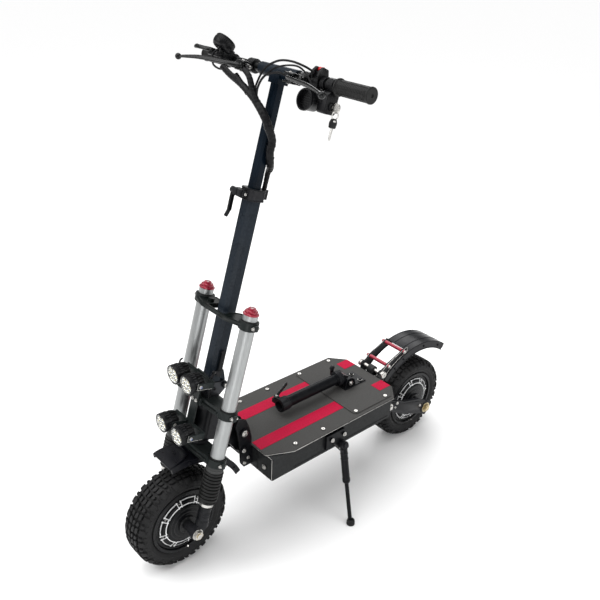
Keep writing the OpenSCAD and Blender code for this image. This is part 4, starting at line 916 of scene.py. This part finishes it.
for s in (1, -1):
    b.mi = 1
    b.bolt((-615, s * 33, 327), (0, s, 0), 5.2, 3.0, False, True)
    b.bolt((-670, s * 19, 311.2), (0, 0, 1), 5.0, 4.4, True, True)
    b.mi = 0
    b.tube([(-640, s * 28.2, 312), (-634, s * 28.2, 330), (-622, s * 28.2, 340), (-608, s * 28.2, 340), (-600, s * 28.2, 330), (-598, s * 28.2, 312)], 1.1, 8, steps=3)
b.obj("seat_hinge_bolts", [M["frame"], M["zinc"]], "chassis", smooth=35)

# ---- lamp tabs and small bracket bolts
b = B()
for y, t in ((30, 418), (-30, 418), (36, 278), (-36, 278)):
    for s in (1, -1):
        yy = y + s * 28.1
        if abs(yy) > 8:
            b.mi = 1
            b.box((48, min(yy, yy + s * 0.9), t - 7.8), (73, max(yy, yy + s * 0.9), t + 7.8), 0.4, None, 1)
            b.mi = 0
            b.bolt((64, yy + s * 0.9, t), (0, s, 0), 3.0, 1.6, False, True)
            b.tube([(27.4, yy + s * 0.2, t - 8.2), (72, yy + s * 0.2, t - 8.2)], 0.7, 8)
            b.tube([(72.4, yy + s * 0.2, t - 8.2), (72.4, yy + s * 0.2, t + 8.2)], 0.7, 8)
            b.mi = 2
            b.lathe([(1.6, 1.6), (2.5, 1.6), (2.5, 2.6), (1.6, 2.6)], Tr(64, yy + s * 1.2, t) @ (Y_AXIS if s > 0 else R("X", 90)), 20)
b.mi = 0
for s in (1, -1):
    b.bolt((26, s * 8, 351), (1, 0, 0), 3.4, 2.4, False, True)
b.obj("lamp_tabs", [M["zinc"], M["clamp"], M["blue"]], "fork_upper", smooth=35)

# ------------------------------------------------------------------ floor and light
bm = bmesh.new()
F = 40.0
n = 8
grid = [[bm.verts.new((-F + 2 * F * i / n, -F + 2 * F * j / n, 0)) for j in range(n + 1)] for i in range(n + 1)]
for i in range(n):
    for j in range(n):
        bm.faces.new((grid[i][j], grid[i + 1][j], grid[i + 1][j + 1], grid[i][j + 1]))
me = bpy.data.meshes.new("floor")
bm.to_mesh(me); bm.free()
floor = bpy.data.objects.new("floor", me)
scene.collection.objects.link(floor)
fm = bpy.data.materials.new("floor_pale")
fm.use_nodes = True
_b = fm.node_tree.nodes["Principled BSDF"]
_b.inputs["Base Color"].default_value = (0.96, 0.96, 0.96, 1)
_b.inputs["Roughness"].default_value = 0.9
_b.inputs["Specular IOR Level"].default_value = 0.1
me.materials.append(fm)


def area(name, loc, target, size, power, color=(1, 1, 1)):
    d = bpy.data.lights.new(name, "AREA")
    d.shape = "RECTANGLE"
    d.size, d.size_y = size
    d.energy = power
    d.color = color
    o = bpy.data.objects.new(name, d)
    scene.collection.objects.link(o)
    o.location = loc
    o.rotation_mode = "QUATERNION"
    o.rotation_quaternion = (Vector(target) - Vector(loc)).to_track_quat("-Z", "Y")
    return o


sd = bpy.data.lights.new("soft_sun", "SUN")
sd.energy, sd.angle = 2.45, math.radians(70)
so_ = bpy.data.objects.new("soft_sun", sd)
scene.collection.objects.link(so_)
so_.rotation_euler = (math.radians(14), math.radians(12), 0)
area("key_left", (2.6, -1.2, 2.6), (0, 0, 0.5), (1.6, 1.6), 40)
area("key_top", (0.2, 0.6, 3.6), (0, 0, 0.3), (3.0, 3.0), 26)
area("fill_right", (-0.8, 2.9, 1.7), (-0.1, 0, 0.5), (1.8, 1.8), 30)
area("front_low", (2.4, 1.8, 0.6), (0.2, 0, 0.3), (1.2, 1.0), 12)
area("rim_back", (-2.2, -1.8, 2.2), (-0.2, 0, 0.5), (1.4, 1.4), 24)
w = bpy.data.worlds.new("studio")
scene.world = w
w.use_nodes = True
w.node_tree.nodes["Background"].inputs["Color"].default_value = (1, 1, 1, 1)
w.node_tree.nodes["Background"].inputs["Strength"].default_value = 0.30
